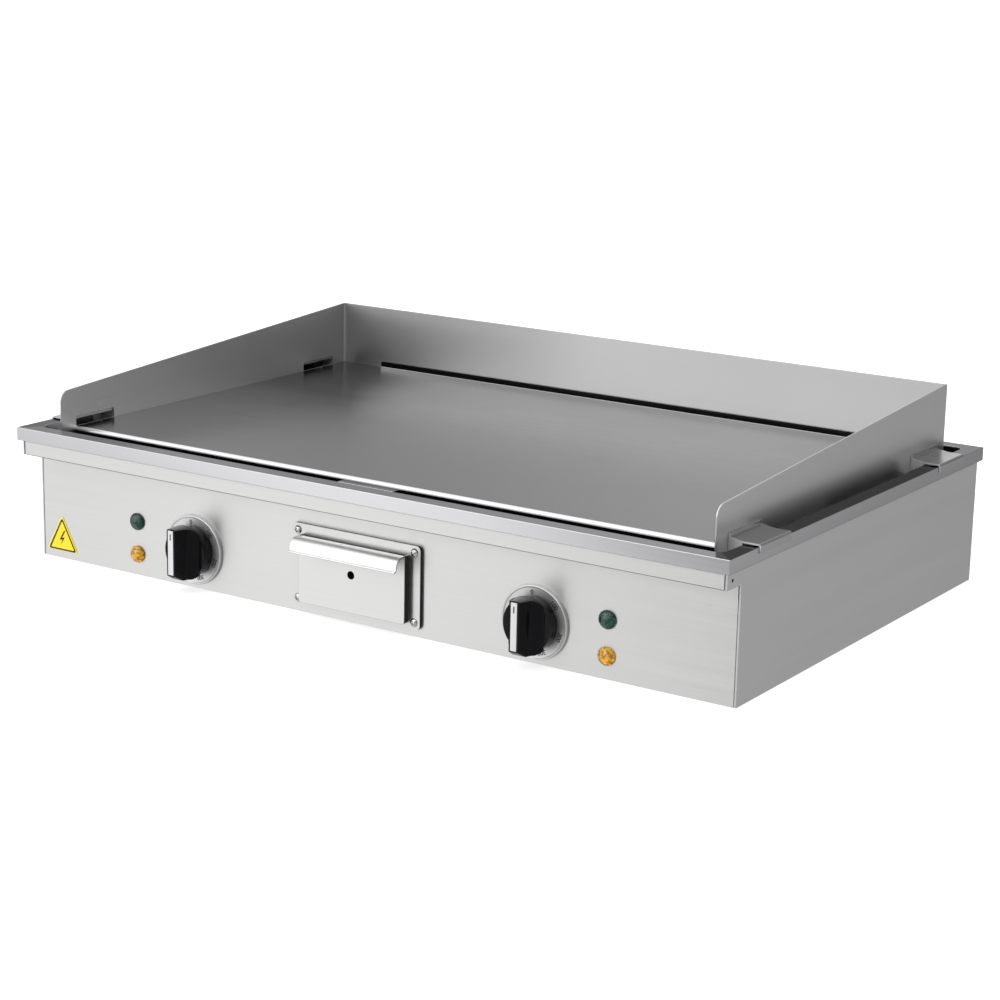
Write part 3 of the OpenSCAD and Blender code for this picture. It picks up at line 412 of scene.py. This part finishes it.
def spangle(name, color, rough):
    """Galvanised sheet with its crystal pattern."""
    p = Paint(name, rough, metallic=1.0, color=color)
    cells = p.add("ShaderNodeTexVoronoi", {"Vector": p.local, "Scale": CRYSTAL_SCALE})
    tone = p.add("ShaderNodeSeparateXYZ", {0: cells.outputs["Color"]})
    p.color(p.ramp(tone.outputs["X"], [(0.0, shade(color, CRYSTAL_DARK)),
                                       (1.0, shade(color, CRYSTAL_LIGHT))]))
    p.rough(p.ranged(tone.outputs["Y"], rough - CRYSTAL_SPREAD, rough + CRYSTAL_SPREAD))
    return p


STEEL = (0.73, 0.727, 0.722)
SKINS = {
    "panel": brushed("Steel panel brushed along X", STEEL, "X", 0.34),
    # Apron's lowest edge painted dark: painted shadow.
    "apron": brushed("Steel apron brushed along X", STEEL, "X", 0.34, painted_shading=apron_painted_shadow, shading_share=0.4),
    "side": brushed("Steel side brushed along Y", (0.68, 0.68, 0.68), "Y", 0.34),
    # Frame: painted shade at the rim mask, and up-facing faces painted darker than the sides as a painted
    # reflection.
    "rim": brushed("Steel frame brushed along its sides", (0.68, 0.68, 0.695), "XY", 0.17, spread=0.03,
                   tone=0.015, lines=1400, bump=0.02, painted_shading=rim_painted_shade, shading_share=0.12,
                   bright=(upward, (0.43, 0.43, 0.445), 0.15), grazing=0.54),
    "guard_x": brushed("Steel guard brushed along X", (0.68, 0.678, 0.675), "X", 0.3, spread=0.015,
                       tone=0.01, bump=0.0),
    "guard_y": brushed("Steel guard brushed along Y", (0.66, 0.66, 0.66), "Y", 0.29, spread=0.015,
                       tone=0.01, bump=0.0),
    # Brackets: end webs painted lighter as painted light, and made rougher.
    "fold": brushed("Folded steel", (0.54, 0.54, 0.55), "Y", 0.22, painted_shading=lit_webs, shading_share=1.5,
                    shading_rough=0.75),
    # Spout: up-facing faces painted dark as painted shade.
    "spout": brushed("Spout steel", (0.68, 0.68, 0.69), "X", 0.26, painted_shading=upward, shading_share=0.12),
    # Hidden parts under the plate painted near black for the dark gaps: painted shade.
    "shade_black": brushed("Near-black steel for painted shade", (0.10, 0.099, 0.10), "X", 0.42, tone=0.12),
    # Plate: upright sides painted dark as painted shade, front edge painted bright as a painted highlight.
    "plate": brushed("Ground plate", (0.30, 0.298, 0.306), "X", 0.22, spread=0.03, tone=0.03, aniso=0.4,
                     lines=1100, bump=0.02, smudge=0.02, painted_shading=plate_side_shade, shading_share=0.12,
                     bright=(plate_nose_highlight, (0.80, 0.80, 0.815), 0.3), grazing=0.68),
    # Drawer: side and lower folds painted dark as painted shade, rolled lip painted near white as a painted
    # sheen.
    "drawer": brushed("Drawer steel", (0.77, 0.767, 0.76), "X", 0.36, painted_shading=drawer_edge_shade, shading_share=0.06,
                      bright=(lip, (0.98, 0.98, 0.98), 0.4)),
    # Surround: pan sides painted near black as painted shade.
    "surround": brushed("Surround steel", (0.72, 0.717, 0.71), "X", 0.32, painted_shading=pan_edge_shade, shading_share=0.06),
    # Screws: sides painted near black as painted shade.
    "screw": cast("Polished screw", (0.82, 0.82, 0.82), 0.1, 1.0, bump=0.03, painted_shading=pan_edge_shade, shading_share=0.03),
    "galvanised": spangle("Galvanised sheet", (0.55, 0.57, 0.58), 0.45),
    "zinc": cast("Bright zinc", (0.68, 0.68, 0.66), 0.28, 1.0, bump=0.04),
    "brass": cast("Brass", (0.70, 0.52, 0.24), 0.3, 1.0, bump=0.04),
    "sheath": cast("Oxidised sheath", (0.12, 0.115, 0.115), 0.55, 0.7, bump=0.15),
    "dial": cast("Dial aluminium", (0.86, 0.86, 0.855), 0.44, 1.0, bump=0.03, tone=0.03),
    "pointer": brushed("Pointer aluminium", (0.86, 0.86, 0.86), "X", 0.3, lines=1500, aniso=0.3),
    "black": cast("Black knob plastic", (0.004, 0.004, 0.005), 0.1, 0.0, bump=0.02, tone=0.2, specular=0.15),
    "grey": cast("Grey plastic", (0.10, 0.10, 0.11), 0.5, 0.0, bump=0.2),
    "white": cast("White plastic", (0.72, 0.71, 0.66), 0.45, 0.0, bump=0.1, tone=0.03),
    "fibre": fibre_paint("Ceramic fibre", (0.80, 0.79, 0.73)),
    "green": lens_paint("Green lens", (0.006, 0.07, 0.045), (0.001, 0.014, 0.010)),
    "amber": lens_paint("Amber lens", (0.80, 0.43, 0.03), (0.32, 0.13, 0.004)),
    "yellow": cast("Yellow label", (0.93, 0.72, 0.01), 0.35, 0.0, bump=0.03, tone=0.03),
    "ink": cast("Black ink", (0.015, 0.015, 0.015), 0.45, 0.0, bump=0.05, tone=0.15),
    "grey_ink": cast("Dial ink", (0.01, 0.01, 0.011), 0.5, 0.0, bump=0.05, tone=0.15),
}

SKIN_NODES = {
    "rim": ("top_frame",),
    "apron": ("front_apron",),
    "panel": ("front_panel", "rear_panel", "drawer_tray"),
    "side": ("left_side_panel", "right_side_panel", "grease_chute"),
    "galvanised": ("base_plate", "clamp_bars", "drawer_sleeve", "sleeve_support"),
    "brass": ("foot_bushes", "left_sensor", "right_sensor", "earth_stud"),
    "plate": ("griddle_plate",),
    # Parts under the plate painted near black: painted shade.
    "shade_black": ("support_frame", "grease_trough", "heat_shield"),
    "guard_x": ("rear_guard",),
    "guard_y": ("left_guard", "right_guard"),
    "fold": ("front_left_bracket", "front_right_bracket", "rear_left_bracket", "rear_right_bracket"),
    "spout": ("plate_spout",),
    "fibre": ("insulation_slab",),
    "sheath": ("left_heating_element", "right_heating_element"),
    "zinc": ("clamp_studs", "clamp_nuts", "left_shaft", "right_shaft", "lamp_clips", "panel_screws",
             "base_screws"),
    "grey": ("left_thermostat", "right_thermostat", "safety_thermostats", "wiring", "cable_gland",
             "gland_locknut"),
    "dial": ("left_dial", "right_dial"),
    "black": ("left_knob", "right_knob"),
    "pointer": ("left_pointer", "right_pointer"),
    "green": ("left_green_lens", "right_green_lens"),
    "amber": ("left_amber_lens", "right_amber_lens"),
    "white": ("lamp_housings", "terminal_block"),
    "surround": ("drawer_surround",),
    "screw": ("surround_screws",),
    "drawer": ("drawer_front",),
    "yellow": ("label_plate",),
}
SKIN_OF = {node: skin for skin, nodes in SKIN_NODES.items() for node in nodes}


# ---------------------------------------------------------------- CAD nodes

WELD_GAP = 0.01 * MM
FLAT_ANGLE, SHARP_ANGLE = 0.6, 30
NORMAL_WEIGHT = 80


def soften(obj, width, segments):
    """Merges the tessellation's seams and rounds the sharp edges."""
    weld = obj.modifiers.new("weld", "WELD")
    weld.merge_threshold = WELD_GAP
    flat = obj.modifiers.new("flat", "DECIMATE")
    flat.decimate_type = "DISSOLVE"
    flat.angle_limit = math.radians(FLAT_ANGLE)
    bevel = obj.modifiers.new("edge", "BEVEL")
    bevel.width = width
    bevel.segments = segments
    bevel.limit_method = "ANGLE"
    bevel.angle_limit = math.radians(SHARP_ANGLE)
    bevel.harden_normals = False
    normals = obj.modifiers.new("normals", "WEIGHTED_NORMAL")
    normals.weight = NORMAL_WEIGHT
    normals.keep_sharp = True
    for polygon in obj.data.polygons:
        polygon.use_smooth = True


# Width in mm of the rounding on each node's edges; the others keep theirs sharp.
EDGE_NODES = {
    0.15: ("surround_screws", "panel_screws"),
    0.2: ("front_panel", "rear_panel", "drawer_tray", "earth_stud"),
    0.25: ("left_pointer", "right_pointer"),
    0.3: ("plate_spout", "drawer_front", "support_frame"),
    0.35: ("left_side_panel", "right_side_panel", "rear_guard", "left_guard", "right_guard",
           "front_left_bracket", "front_right_bracket", "rear_left_bracket", "rear_right_bracket",
           "drawer_surround"),
    0.4: ("gland_locknut",),
    0.5: ("top_frame", "griddle_plate", "cable_gland"),
    0.6: ("front_apron",),
    0.8: ("left_knob", "right_knob"),
}
EDGE = {node: width for width, nodes in EDGE_NODES.items() for node in nodes}

for name, obj in NODES.items():
    obj.data.materials.clear()
    obj.data.materials.append(SKINS[SKIN_OF[name]].mat)
    if name in EDGE:
        soften(obj, EDGE[name] * MM, 3 if "knob" in name else 2)


# ---------------------------------------------------------------- new pieces

def piece(name, bm, skin, body, replaces=(), smooth=True):
    """Makes an object of a bmesh, with its material and body."""
    mesh = bpy.data.meshes.new(name)
    bmesh.ops.recalc_face_normals(bm, faces=bm.faces)
    bm.to_mesh(mesh)
    bm.free()
    obj = bpy.data.objects.new(name, mesh)
    SCENE.collection.objects.link(obj)
    mesh.materials.append(SKINS[skin].mat)
    for polygon in mesh.polygons:
        polygon.use_smooth = smooth
    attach(obj, body)
    if replaces:
        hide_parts(*replaces)
    return obj


def lathe(bm, profile, place, steps=128):
    """Turns a closed profile of (radius, height) round an axis that points at the cook."""
    rings = []
    for i in range(steps):
        a = 2 * math.pi * i / steps
        spoke = [Vector((r * math.cos(a), -h, r * math.sin(a))) for r, h in profile]
        rings.append([bm.verts.new(place + point) for point in spoke])
    for i in range(steps):
        one, two = rings[i], rings[(i + 1) % steps]
        for j in range(len(profile)):
            k = (j + 1) % len(profile)
            bm.faces.new((one[j], one[k], two[k], two[j]))


def arc(cx, cy, r, start, end, steps):
    """Points of an arc between two angles in degrees."""
    angles = [math.radians(start + (end - start) * i / steps) for i in range(steps + 1)]
    return [(cx + r * math.cos(a), cy + r * math.sin(a)) for a in angles]


DIAL_HOLE = 8 * MM
DIAL_FOOT = 1.8 * MM
DIAL_DISH = 2.3 * MM
DIAL_RIM = 1.1 * MM
DIAL_FACE = 2.4 * MM
CREST_START, CREST_STEPS = 125, 8


def dial_profile(radius, height):
    """Dial: the foot, the very shallow cone, the low round rim and the outer wall."""
    cone = [(DIAL_HOLE, DIAL_FOOT), (radius - DIAL_FACE, DIAL_DISH)]
    crest = arc(radius - DIAL_RIM, height - DIAL_RIM, DIAL_RIM, CREST_START, 0, CREST_STEPS)
    return [(DIAL_HOLE, 0.0)] + cone + crest + [(radius, 0.0)]


def dial_height(r, radius):
    """How far the cone stands out at the distance r from the dial's middle."""
    share = (r - DIAL_HOLE) / (radius - DIAL_FACE - DIAL_HOLE)
    return DIAL_FOOT + (DIAL_DISH - DIAL_FOOT) * min(1.0, share)


# Ink: how much each letter's outline is widened, how far the ink stands over a face and goes into it.
INK_SPREAD = 0.1 * MM
INK_PROUD, INK_SUNK = 0.06 * MM, 0.02 * MM


def lettering(text, size):
    """A flat mesh of the text, centred on its own origin in X and Z."""
    curve = bpy.data.curves.new("text", "FONT")
    curve.body = text
    curve.size = size
    curve.offset = INK_SPREAD
    curve.align_x = "CENTER"
    curve.align_y = "CENTER"
    holder = bpy.data.objects.new("text", curve)
    SCENE.collection.objects.link(holder)
    bpy.context.view_layer.update()
    mesh = bpy.data.meshes.new_from_object(holder)
    bm = bmesh.new()
    bm.from_mesh(mesh)
    bpy.data.objects.remove(holder)
    return bm


# Each number with its angle clockwise from the top and its size in mm.
MARKS = [("0", -6, 5.6), ("100", 46, 5.4), ("200", 109, 5.4), ("300", 162, 5.4)]
MARK_INSET = 6.2 * MM


def dial_marks(side, place, radius, front):
    """Numbers printed on the dial, following its cone."""
    total = bmesh.new()
    ring = radius - MARK_INSET
    for text, angle, size in MARKS:
        bm = lettering(text, size * MM)
        spin = Matrix.Rotation(-math.radians(angle), 4, "Z")
        for v in bm.verts:
            p = spin @ Vector((v.co.x, v.co.y + ring, 0))
            r = math.hypot(p.x, p.y)
            lift = dial_height(r, radius) + INK_PROUD
            v.co = Vector((place.x + p.x, front - lift, place.z + p.y))
        temp = bpy.data.meshes.new("temp")
        bm.to_mesh(temp)
        bm.free()
        total.from_mesh(temp)
        bpy.data.meshes.remove(temp)
    piece(side + "_dial_marks", total, "grey_ink", "chassis", smooth=False)


def make_dial(side):
    """Dished dial in place of the CAD's, with its numbers."""
    node = side + "_dial"
    mid, low, high = centre(node)
    radius = (high.x - low.x) / 2
    bm = bmesh.new()
    lathe(bm, dial_profile(radius, high.y - low.y), Vector((mid.x, high.y, mid.z)))
    obj = piece(side + "_dial_dished", bm, "dial", "chassis", (node,))
    obj.modifiers.new("normals", "WEIGHTED_NORMAL").keep_sharp = True
    dial_marks(side, mid, radius, high.y)


LENS_COLLAR = 1.2 * MM
LENS_STEPS = 18
LENS_EDGE = 0.12 * MM


def make_lens(side, tint):
    """Lens with a collar and a dome cut into diamond facets."""
    node = f"{side}_{tint}_lens"
    mid, low, high = centre(node)
    radius = (high.x - low.x) / 2
    out = high.y - low.y
    # Share of the radius and height of each row; every second row of the dome is half a step round.
    rows = [(1.0, 0.0), (1.0, LENS_COLLAR), (0.93, LENS_COLLAR + 0.9 * MM), (0.74, LENS_COLLAR + 2.2 * MM),
            (0.47, LENS_COLLAR + 3.2 * MM), (0.2, out - 0.05 * MM)]
    bm = bmesh.new()
    rings = []
    for i, (share, h) in enumerate(rows):
        shift = 0.5 * (i % 2) if i > 1 else 0.0
        turns = [2 * math.pi * (k + shift) / LENS_STEPS for k in range(LENS_STEPS)]
        rings.append([bm.verts.new(Vector((mid.x + share * radius * math.cos(a), high.y - h,
                                           mid.z + share * radius * math.sin(a)))) for a in turns])
    for k in range(LENS_STEPS):
        n = (k + 1) % LENS_STEPS
        bm.faces.new((rings[0][k], rings[0][n], rings[1][n], rings[1][k]))
        for one, two in zip(rings[1:], rings[2:]):
            bm.faces.new((one[k], one[n], two[k]))
            bm.faces.new((one[n], two[n], two[k]))
    top = bm.verts.new(Vector((mid.x, high.y - out, mid.z)))
    back = bm.verts.new(Vector((mid.x, high.y, mid.z)))
    for k in range(LENS_STEPS):
        n = (k + 1) % LENS_STEPS
        bm.faces.new((rings[-1][k], rings[-1][n], top))
        bm.faces.new((rings[0][k], back, rings[0][n]))
    obj = piece(node + "_faceted", bm, tint, "chassis", (node,), smooth=False)
    edge = obj.modifiers.new("edge", "BEVEL")
    edge.width = LENS_EDGE
    edge.segments = 2


def prism(bm, points, y0, y1):
    """Closed slab between two Y planes from an outline of (x, z)."""
    back = [bm.verts.new((x, y1, z)) for x, z in points]
    front = [bm.verts.new((x, y0, z)) for x, z in points]
    bm.faces.new(back)
    bm.faces.new(list(reversed(front)))
    for i in range(len(points)):
        j = (i + 1) % len(points)
        bm.faces.new((front[i], front[j], back[j], back[i]))


def ring_prism(bm, outer, inner, y0, y1):
    """Closed band between two outlines with the same number of points."""
    loops = [[bm.verts.new((x, y, z)) for x, z in outline] for outline, y in
             ((outer, y1), (outer, y0), (inner, y0), (inner, y1))]
    count = len(outer)
    for a in range(4):
        one, two = loops[a], loops[(a + 1) % 4]
        for i in range(count):
            j = (i + 1) % count
            bm.faces.new((one[i], one[j], two[j], two[i]))


def rounded(points, radius, steps=6):
    """The outline's corners rounded by arcs."""
    result = []
    count = len(points)
    for i in range(count):
        p, before, after = (Vector(points[(i + d) % count]) for d in (0, -1, 1))
        u, v = (before - p).normalized(), (after - p).normalized()
        half = u.angle(v) / 2
        hub = p + (u + v).normalized() * (radius / math.sin(half))
        start = p + u * (radius / math.tan(half)) - hub
        end = p + v * (radius / math.tan(half)) - hub
        first = math.atan2(start.y, start.x)
        sweep = (math.atan2(end.y, end.x) - first + math.pi) % (2 * math.pi) - math.pi
        for k in range(steps + 1):
            a = first + sweep * k / steps
            result.append((hub.x + radius * math.cos(a), hub.y + radius * math.sin(a)))
    return result


# The label's border: the inset and corner radius of its outer and inner outlines.
BORDER_OUTER, BORDER_INNER = (0.35 * MM, 1.5 * MM), (1.75 * MM, 0.7 * MM)
# How much more than the lower side the label's other sides and its top give way to an inset.
SIDE_INSET, TOP_INSET = 1.9, 2.2
# The zigzag's outline, in shares of the label's width and height, and its place on the label.
ZIGZAG = [(0.10, 0.56), (-0.10, 0.27), (0.02, 0.29), (-0.05, 0.12), (0.12, 0.36), (0.01, 0.34), (0.16, 0.56)]
ZIGZAG_SHIFT, ZIGZAG_WIDTH = (-0.02, 0.04), 0.8


def make_label():
    """Black border and plain zigzag printed on the yellow triangle."""
    mid, low, high = centre("label_plate")
    width, height = high.x - low.x, high.z - low.z
    planes = low.y - INK_PROUD, low.y + INK_SUNK

    def triangle(inset):
        return [(low.x + inset * SIDE_INSET, low.z + inset), (high.x - inset * SIDE_INSET, low.z + inset),
                (mid.x, high.z - inset * TOP_INSET)]

    outer, inner = (rounded(triangle(inset), radius) for inset, radius in (BORDER_OUTER, BORDER_INNER))
    bm = bmesh.new()
    ring_prism(bm, outer, inner, *planes)
    piece("label_border", bm, "ink", "chassis", smooth=False)
    across, up = ZIGZAG_SHIFT
    bm = bmesh.new()
    prism(bm, [(mid.x + across * width + x * width * ZIGZAG_WIDTH, low.z + up * height + z * height)
               for x, z in ZIGZAG], *planes)
    piece("label_zigzag", bm, "ink", "chassis", smooth=False)


TICK_HALF = 0.55 * MM
TICK_TOP, TICK_FOOT = 3 * MM, 8.5 * MM
TICK_PROUD, TICK_SUNK = 0.05 * MM, 0.1 * MM


def make_tick(side):
    """Short dark line let into the top of the pointer."""
    mid, low, high = centre(side + "_pointer")
    bm = bmesh.new()
    prism(bm, [(mid.x - TICK_HALF, high.z - TICK_FOOT), (mid.x + TICK_HALF, high.z - TICK_FOOT),
               (mid.x + TICK_HALF, high.z - TICK_TOP), (mid.x - TICK_HALF, high.z - TICK_TOP)],
          low.y - TICK_PROUD, low.y + TICK_SUNK)
    piece(side + "_pointer_tick", bm, "ink", side + "_control", smooth=False)


for side in ("left", "right"):
    make_dial(side)
    make_tick(side)
    make_lens(side, "green")
    make_lens(side, "amber")
make_label()


# ---------------------------------------------------------------- stage

# Brightness of the studio round the griddle, by turn: 0 and 1 at the left, 0.25 in front, 0.5 at the
# right and 0.75 at the rear. Below the horizon, above it, and the height where the bright ceiling starts.
SKY_LOW = [(0.0, 0.35), (0.07, 0.75), (0.128, 0.85), (0.146, 1.2), (0.157, 1.1), (0.17, 0.46), (0.2, 0.38),
           (0.25, 0.4), (0.31, 0.42), (0.4, 0.42), (0.5, 0.45), (0.6, 0.55), (0.665, 0.54), (0.685, 0.34),
           (0.72, 0.36), (0.85, 0.42), (0.93, 0.38)]
SKY_LEVEL = [(0.0, 0.2), (0.08, 0.9), (0.14, 1.65), (0.2, 1.7), (0.26, 0.8), (0.31, 0.3), (0.37, 0.3),
             (0.42, 0.1), (0.55, 0.9), (0.6, 1.25), (0.622, 1.1), (0.644, 0.95), (0.667, 0.2), (0.75, 0.3),
             (0.8, 0.6), (0.829, 1.0), (0.846, 0.76), (0.856, 0.7), (0.865, 0.9), (0.873, 0.9),
             (0.881, 0.05), (0.94, 0.05)]
SKY_START = [(0.0, 0.35), (0.3, 0.35), (0.45, 0.7), (0.75, 0.7), (0.82, 0.4), (0.9, 0.5), (0.95, 0.35)]
SKY_TOP = 1.3
# Heights between which the surround changes at the horizon, and how far the bright ceiling fades in.
HORIZON = (-0.1, 0.05)
CEILING_FADE = (0.0, 0.3)
FLOOR_REACH, FLOOR_Z = 40, -0.2 * MM
WALL_REACH, WALL_HEIGHT, WALL_STEPS = 38, 60, 64
STAGE_TONE = 0.93
STAGE_SPREAD = 0.005


def staged(name, bm, paint, scale, glow):
    """Makes a pale matt object of the stage that glows and isn't seen in reflections."""
    mesh = bpy.data.meshes.new(name)
    bm.to_mesh(mesh)
    bm.free()
    obj = bpy.data.objects.new(name, mesh)
    SCENE.collection.objects.link(obj)
    p = Paint(paint, rough=0.9, metallic=0.0, color=(STAGE_TONE,) * 3)
    p.color(p.ramp(p.noise(p.local, scale), [(NOISE_LOW, (STAGE_TONE - STAGE_SPREAD,) * 3),
                                             (NOISE_HIGH, (STAGE_TONE + STAGE_SPREAD,) * 3)]))
    p.set("Emission Color", (1, 1, 1, 1))
    p.set("Emission Strength", glow)
    mesh.materials.append(p.mat)
    obj.visible_glossy = False
    return obj


def floor():
    """Pale floor just under the object."""
    bm = bmesh.new()
    corners = ((-1, -1), (1, -1), (1, 1), (-1, 1))
    bm.faces.new([bm.verts.new((x * FLOOR_REACH, y * FLOOR_REACH, FLOOR_Z)) for x, y in corners])
    staged("floor", bm, "Pale floor", scale=3.0, glow=0.6)


def backdrop():
    """White wall far behind the object on every side, seen by the camera alone."""
    bm = bmesh.new()
    turns = [2 * math.pi * i / WALL_STEPS for i in range(WALL_STEPS)]
    foot, top = ([bm.verts.new((WALL_REACH * math.cos(t), WALL_REACH * math.sin(t), z)) for t in turns]
                 for z in (0, WALL_HEIGHT))
    for i in range(WALL_STEPS):
        j = (i + 1) % WALL_STEPS
        bm.faces.new((foot[i], foot[j], top[j], top[i]))
    obj = staged("backdrop", bm, "White backdrop", scale=0.5, glow=1.0)
    obj.visible_diffuse = False
    obj.visible_transmission = False
    obj.visible_shadow = False


def world():
    """Studio surround of SKY_LOW, SKY_LEVEL and, from SKY_START up, the bright ceiling."""
    w = bpy.data.worlds.new("studio")
    SCENE.world = w
    w.use_nodes = True
    tree = w.node_tree
    parts = tree.nodes.new("ShaderNodeSeparateXYZ")
    tree.links.new(tree.nodes.new("ShaderNodeTexCoord").outputs["Generated"], parts.inputs[0])

    def arithmetic(operation, a, b):
        node = tree.nodes.new("ShaderNodeMath")
        node.operation = operation
        for socket, value in zip(node.inputs, (a, b)):
            if isinstance(value, (int, float)):
                socket.default_value = value
            else:
                tree.links.new(value, socket)
        return node.outputs[0]

    angle = arithmetic("ARCTAN2", parts.outputs["Y"], parts.outputs["X"])
    turn = arithmetic("ADD", arithmetic("DIVIDE", angle, 2 * math.pi), 0.5)

    def band(stops):
        """The stops' value at the turn, closing on the first one."""
        node = tree.nodes.new("ShaderNodeValToRGB")
        elements = node.color_ramp.elements
        stops = stops + [(1.0, stops[0][1])]
        while len(elements) < len(stops):
            elements.new(0.5)
        for element, (place, value) in zip(elements, stops):
            element.position = place
            element.color = (value, value, value, 1)
        tree.links.new(turn, node.inputs["Fac"])
        return node.outputs["Color"]

    def rising(height, span, below, above):
        """From below to above as the height goes through the span."""
        spread = tree.nodes.new("ShaderNodeMapRange")
        spread.interpolation_type = "SMOOTHSTEP"
        spread.inputs["From Min"].default_value, spread.inputs["From Max"].default_value = span
        tree.links.new(height, spread.inputs["Value"])
        first, second, result = MIX_SOCKETS["RGBA"]
        mix = tree.nodes.new("ShaderNodeMix")
        mix.data_type = "RGBA"
        tree.links.new(spread.outputs["Result"], mix.inputs[0])
        tree.links.new(below, mix.inputs[first])
        if isinstance(above, float):
            mix.inputs[second].default_value = (above, above, above, 1)
        else:
            tree.links.new(above, mix.inputs[second])
        return mix.outputs[result]

    height = parts.outputs["Z"]
    sides = rising(height, HORIZON, band(SKY_LOW), band(SKY_LEVEL))
    total = rising(arithmetic("SUBTRACT", height, band(SKY_START)), CEILING_FADE, sides, SKY_TOP)
    tree.links.new(total, tree.nodes["Background"].inputs["Color"])


def softbox(name, place, aim, size, power):
    """Rectangular lamp at one place, turned to another."""
    light = bpy.data.lights.new(name, "AREA")
    light.shape = "RECTANGLE"
    light.size, light.size_y = size
    light.energy = power
    obj = bpy.data.objects.new(name, light)
    obj.location = place
    obj.rotation_euler = (Vector(aim) - Vector(place)).to_track_quat("-Z", "Y").to_euler()
    SCENE.collection.objects.link(obj)


# The camera fitted to the photo: place in m, turn, tilt and roll in degrees, lens and sensor in mm.
CAMERA_PLACE = (1.168, -1.7795, 0.600)
CAMERA_TURN, CAMERA_TILT, CAMERA_ROLL = -33.42, 14.16, 1.18
CAMERA_LENS, CAMERA_SENSOR = 86.54, 36
CAMERA_FAR = 200


def camera():
    """Looks from the front right, above, with a slight roll."""
    turn, tilt, roll = (math.radians(a) for a in (CAMERA_TURN, CAMERA_TILT, CAMERA_ROLL))
    ahead = Vector((math.sin(turn) * math.cos(tilt), math.cos(turn) * math.cos(tilt), -math.sin(tilt)))
    right = Vector((math.cos(turn), -math.sin(turn), 0))
    up = right.cross(ahead)
    right, up = (right * math.cos(roll) + up * math.sin(roll),
                 up * math.cos(roll) - right * math.sin(roll))
    data = bpy.data.cameras.new("camera")
    data.sensor_width = CAMERA_SENSOR
    data.lens = CAMERA_LENS
    data.clip_end = CAMERA_FAR
    obj = bpy.data.objects.new("camera", data)
    rotation = Matrix((right, up, -ahead)).transposed().to_4x4()
    obj.matrix_world = Matrix.Translation(Vector(CAMERA_PLACE)) @ rotation
    SCENE.collection.objects.link(obj)
    SCENE.camera = obj


floor()
backdrop()
world()
softbox("front", place=(-2.2, -3.2, 1.8), aim=(0, 0, 0.1), size=(2.0, 1.6), power=6)
camera()
SCENE.view_settings.view_transform = "Standard"
SCENE.view_settings.look = "None"
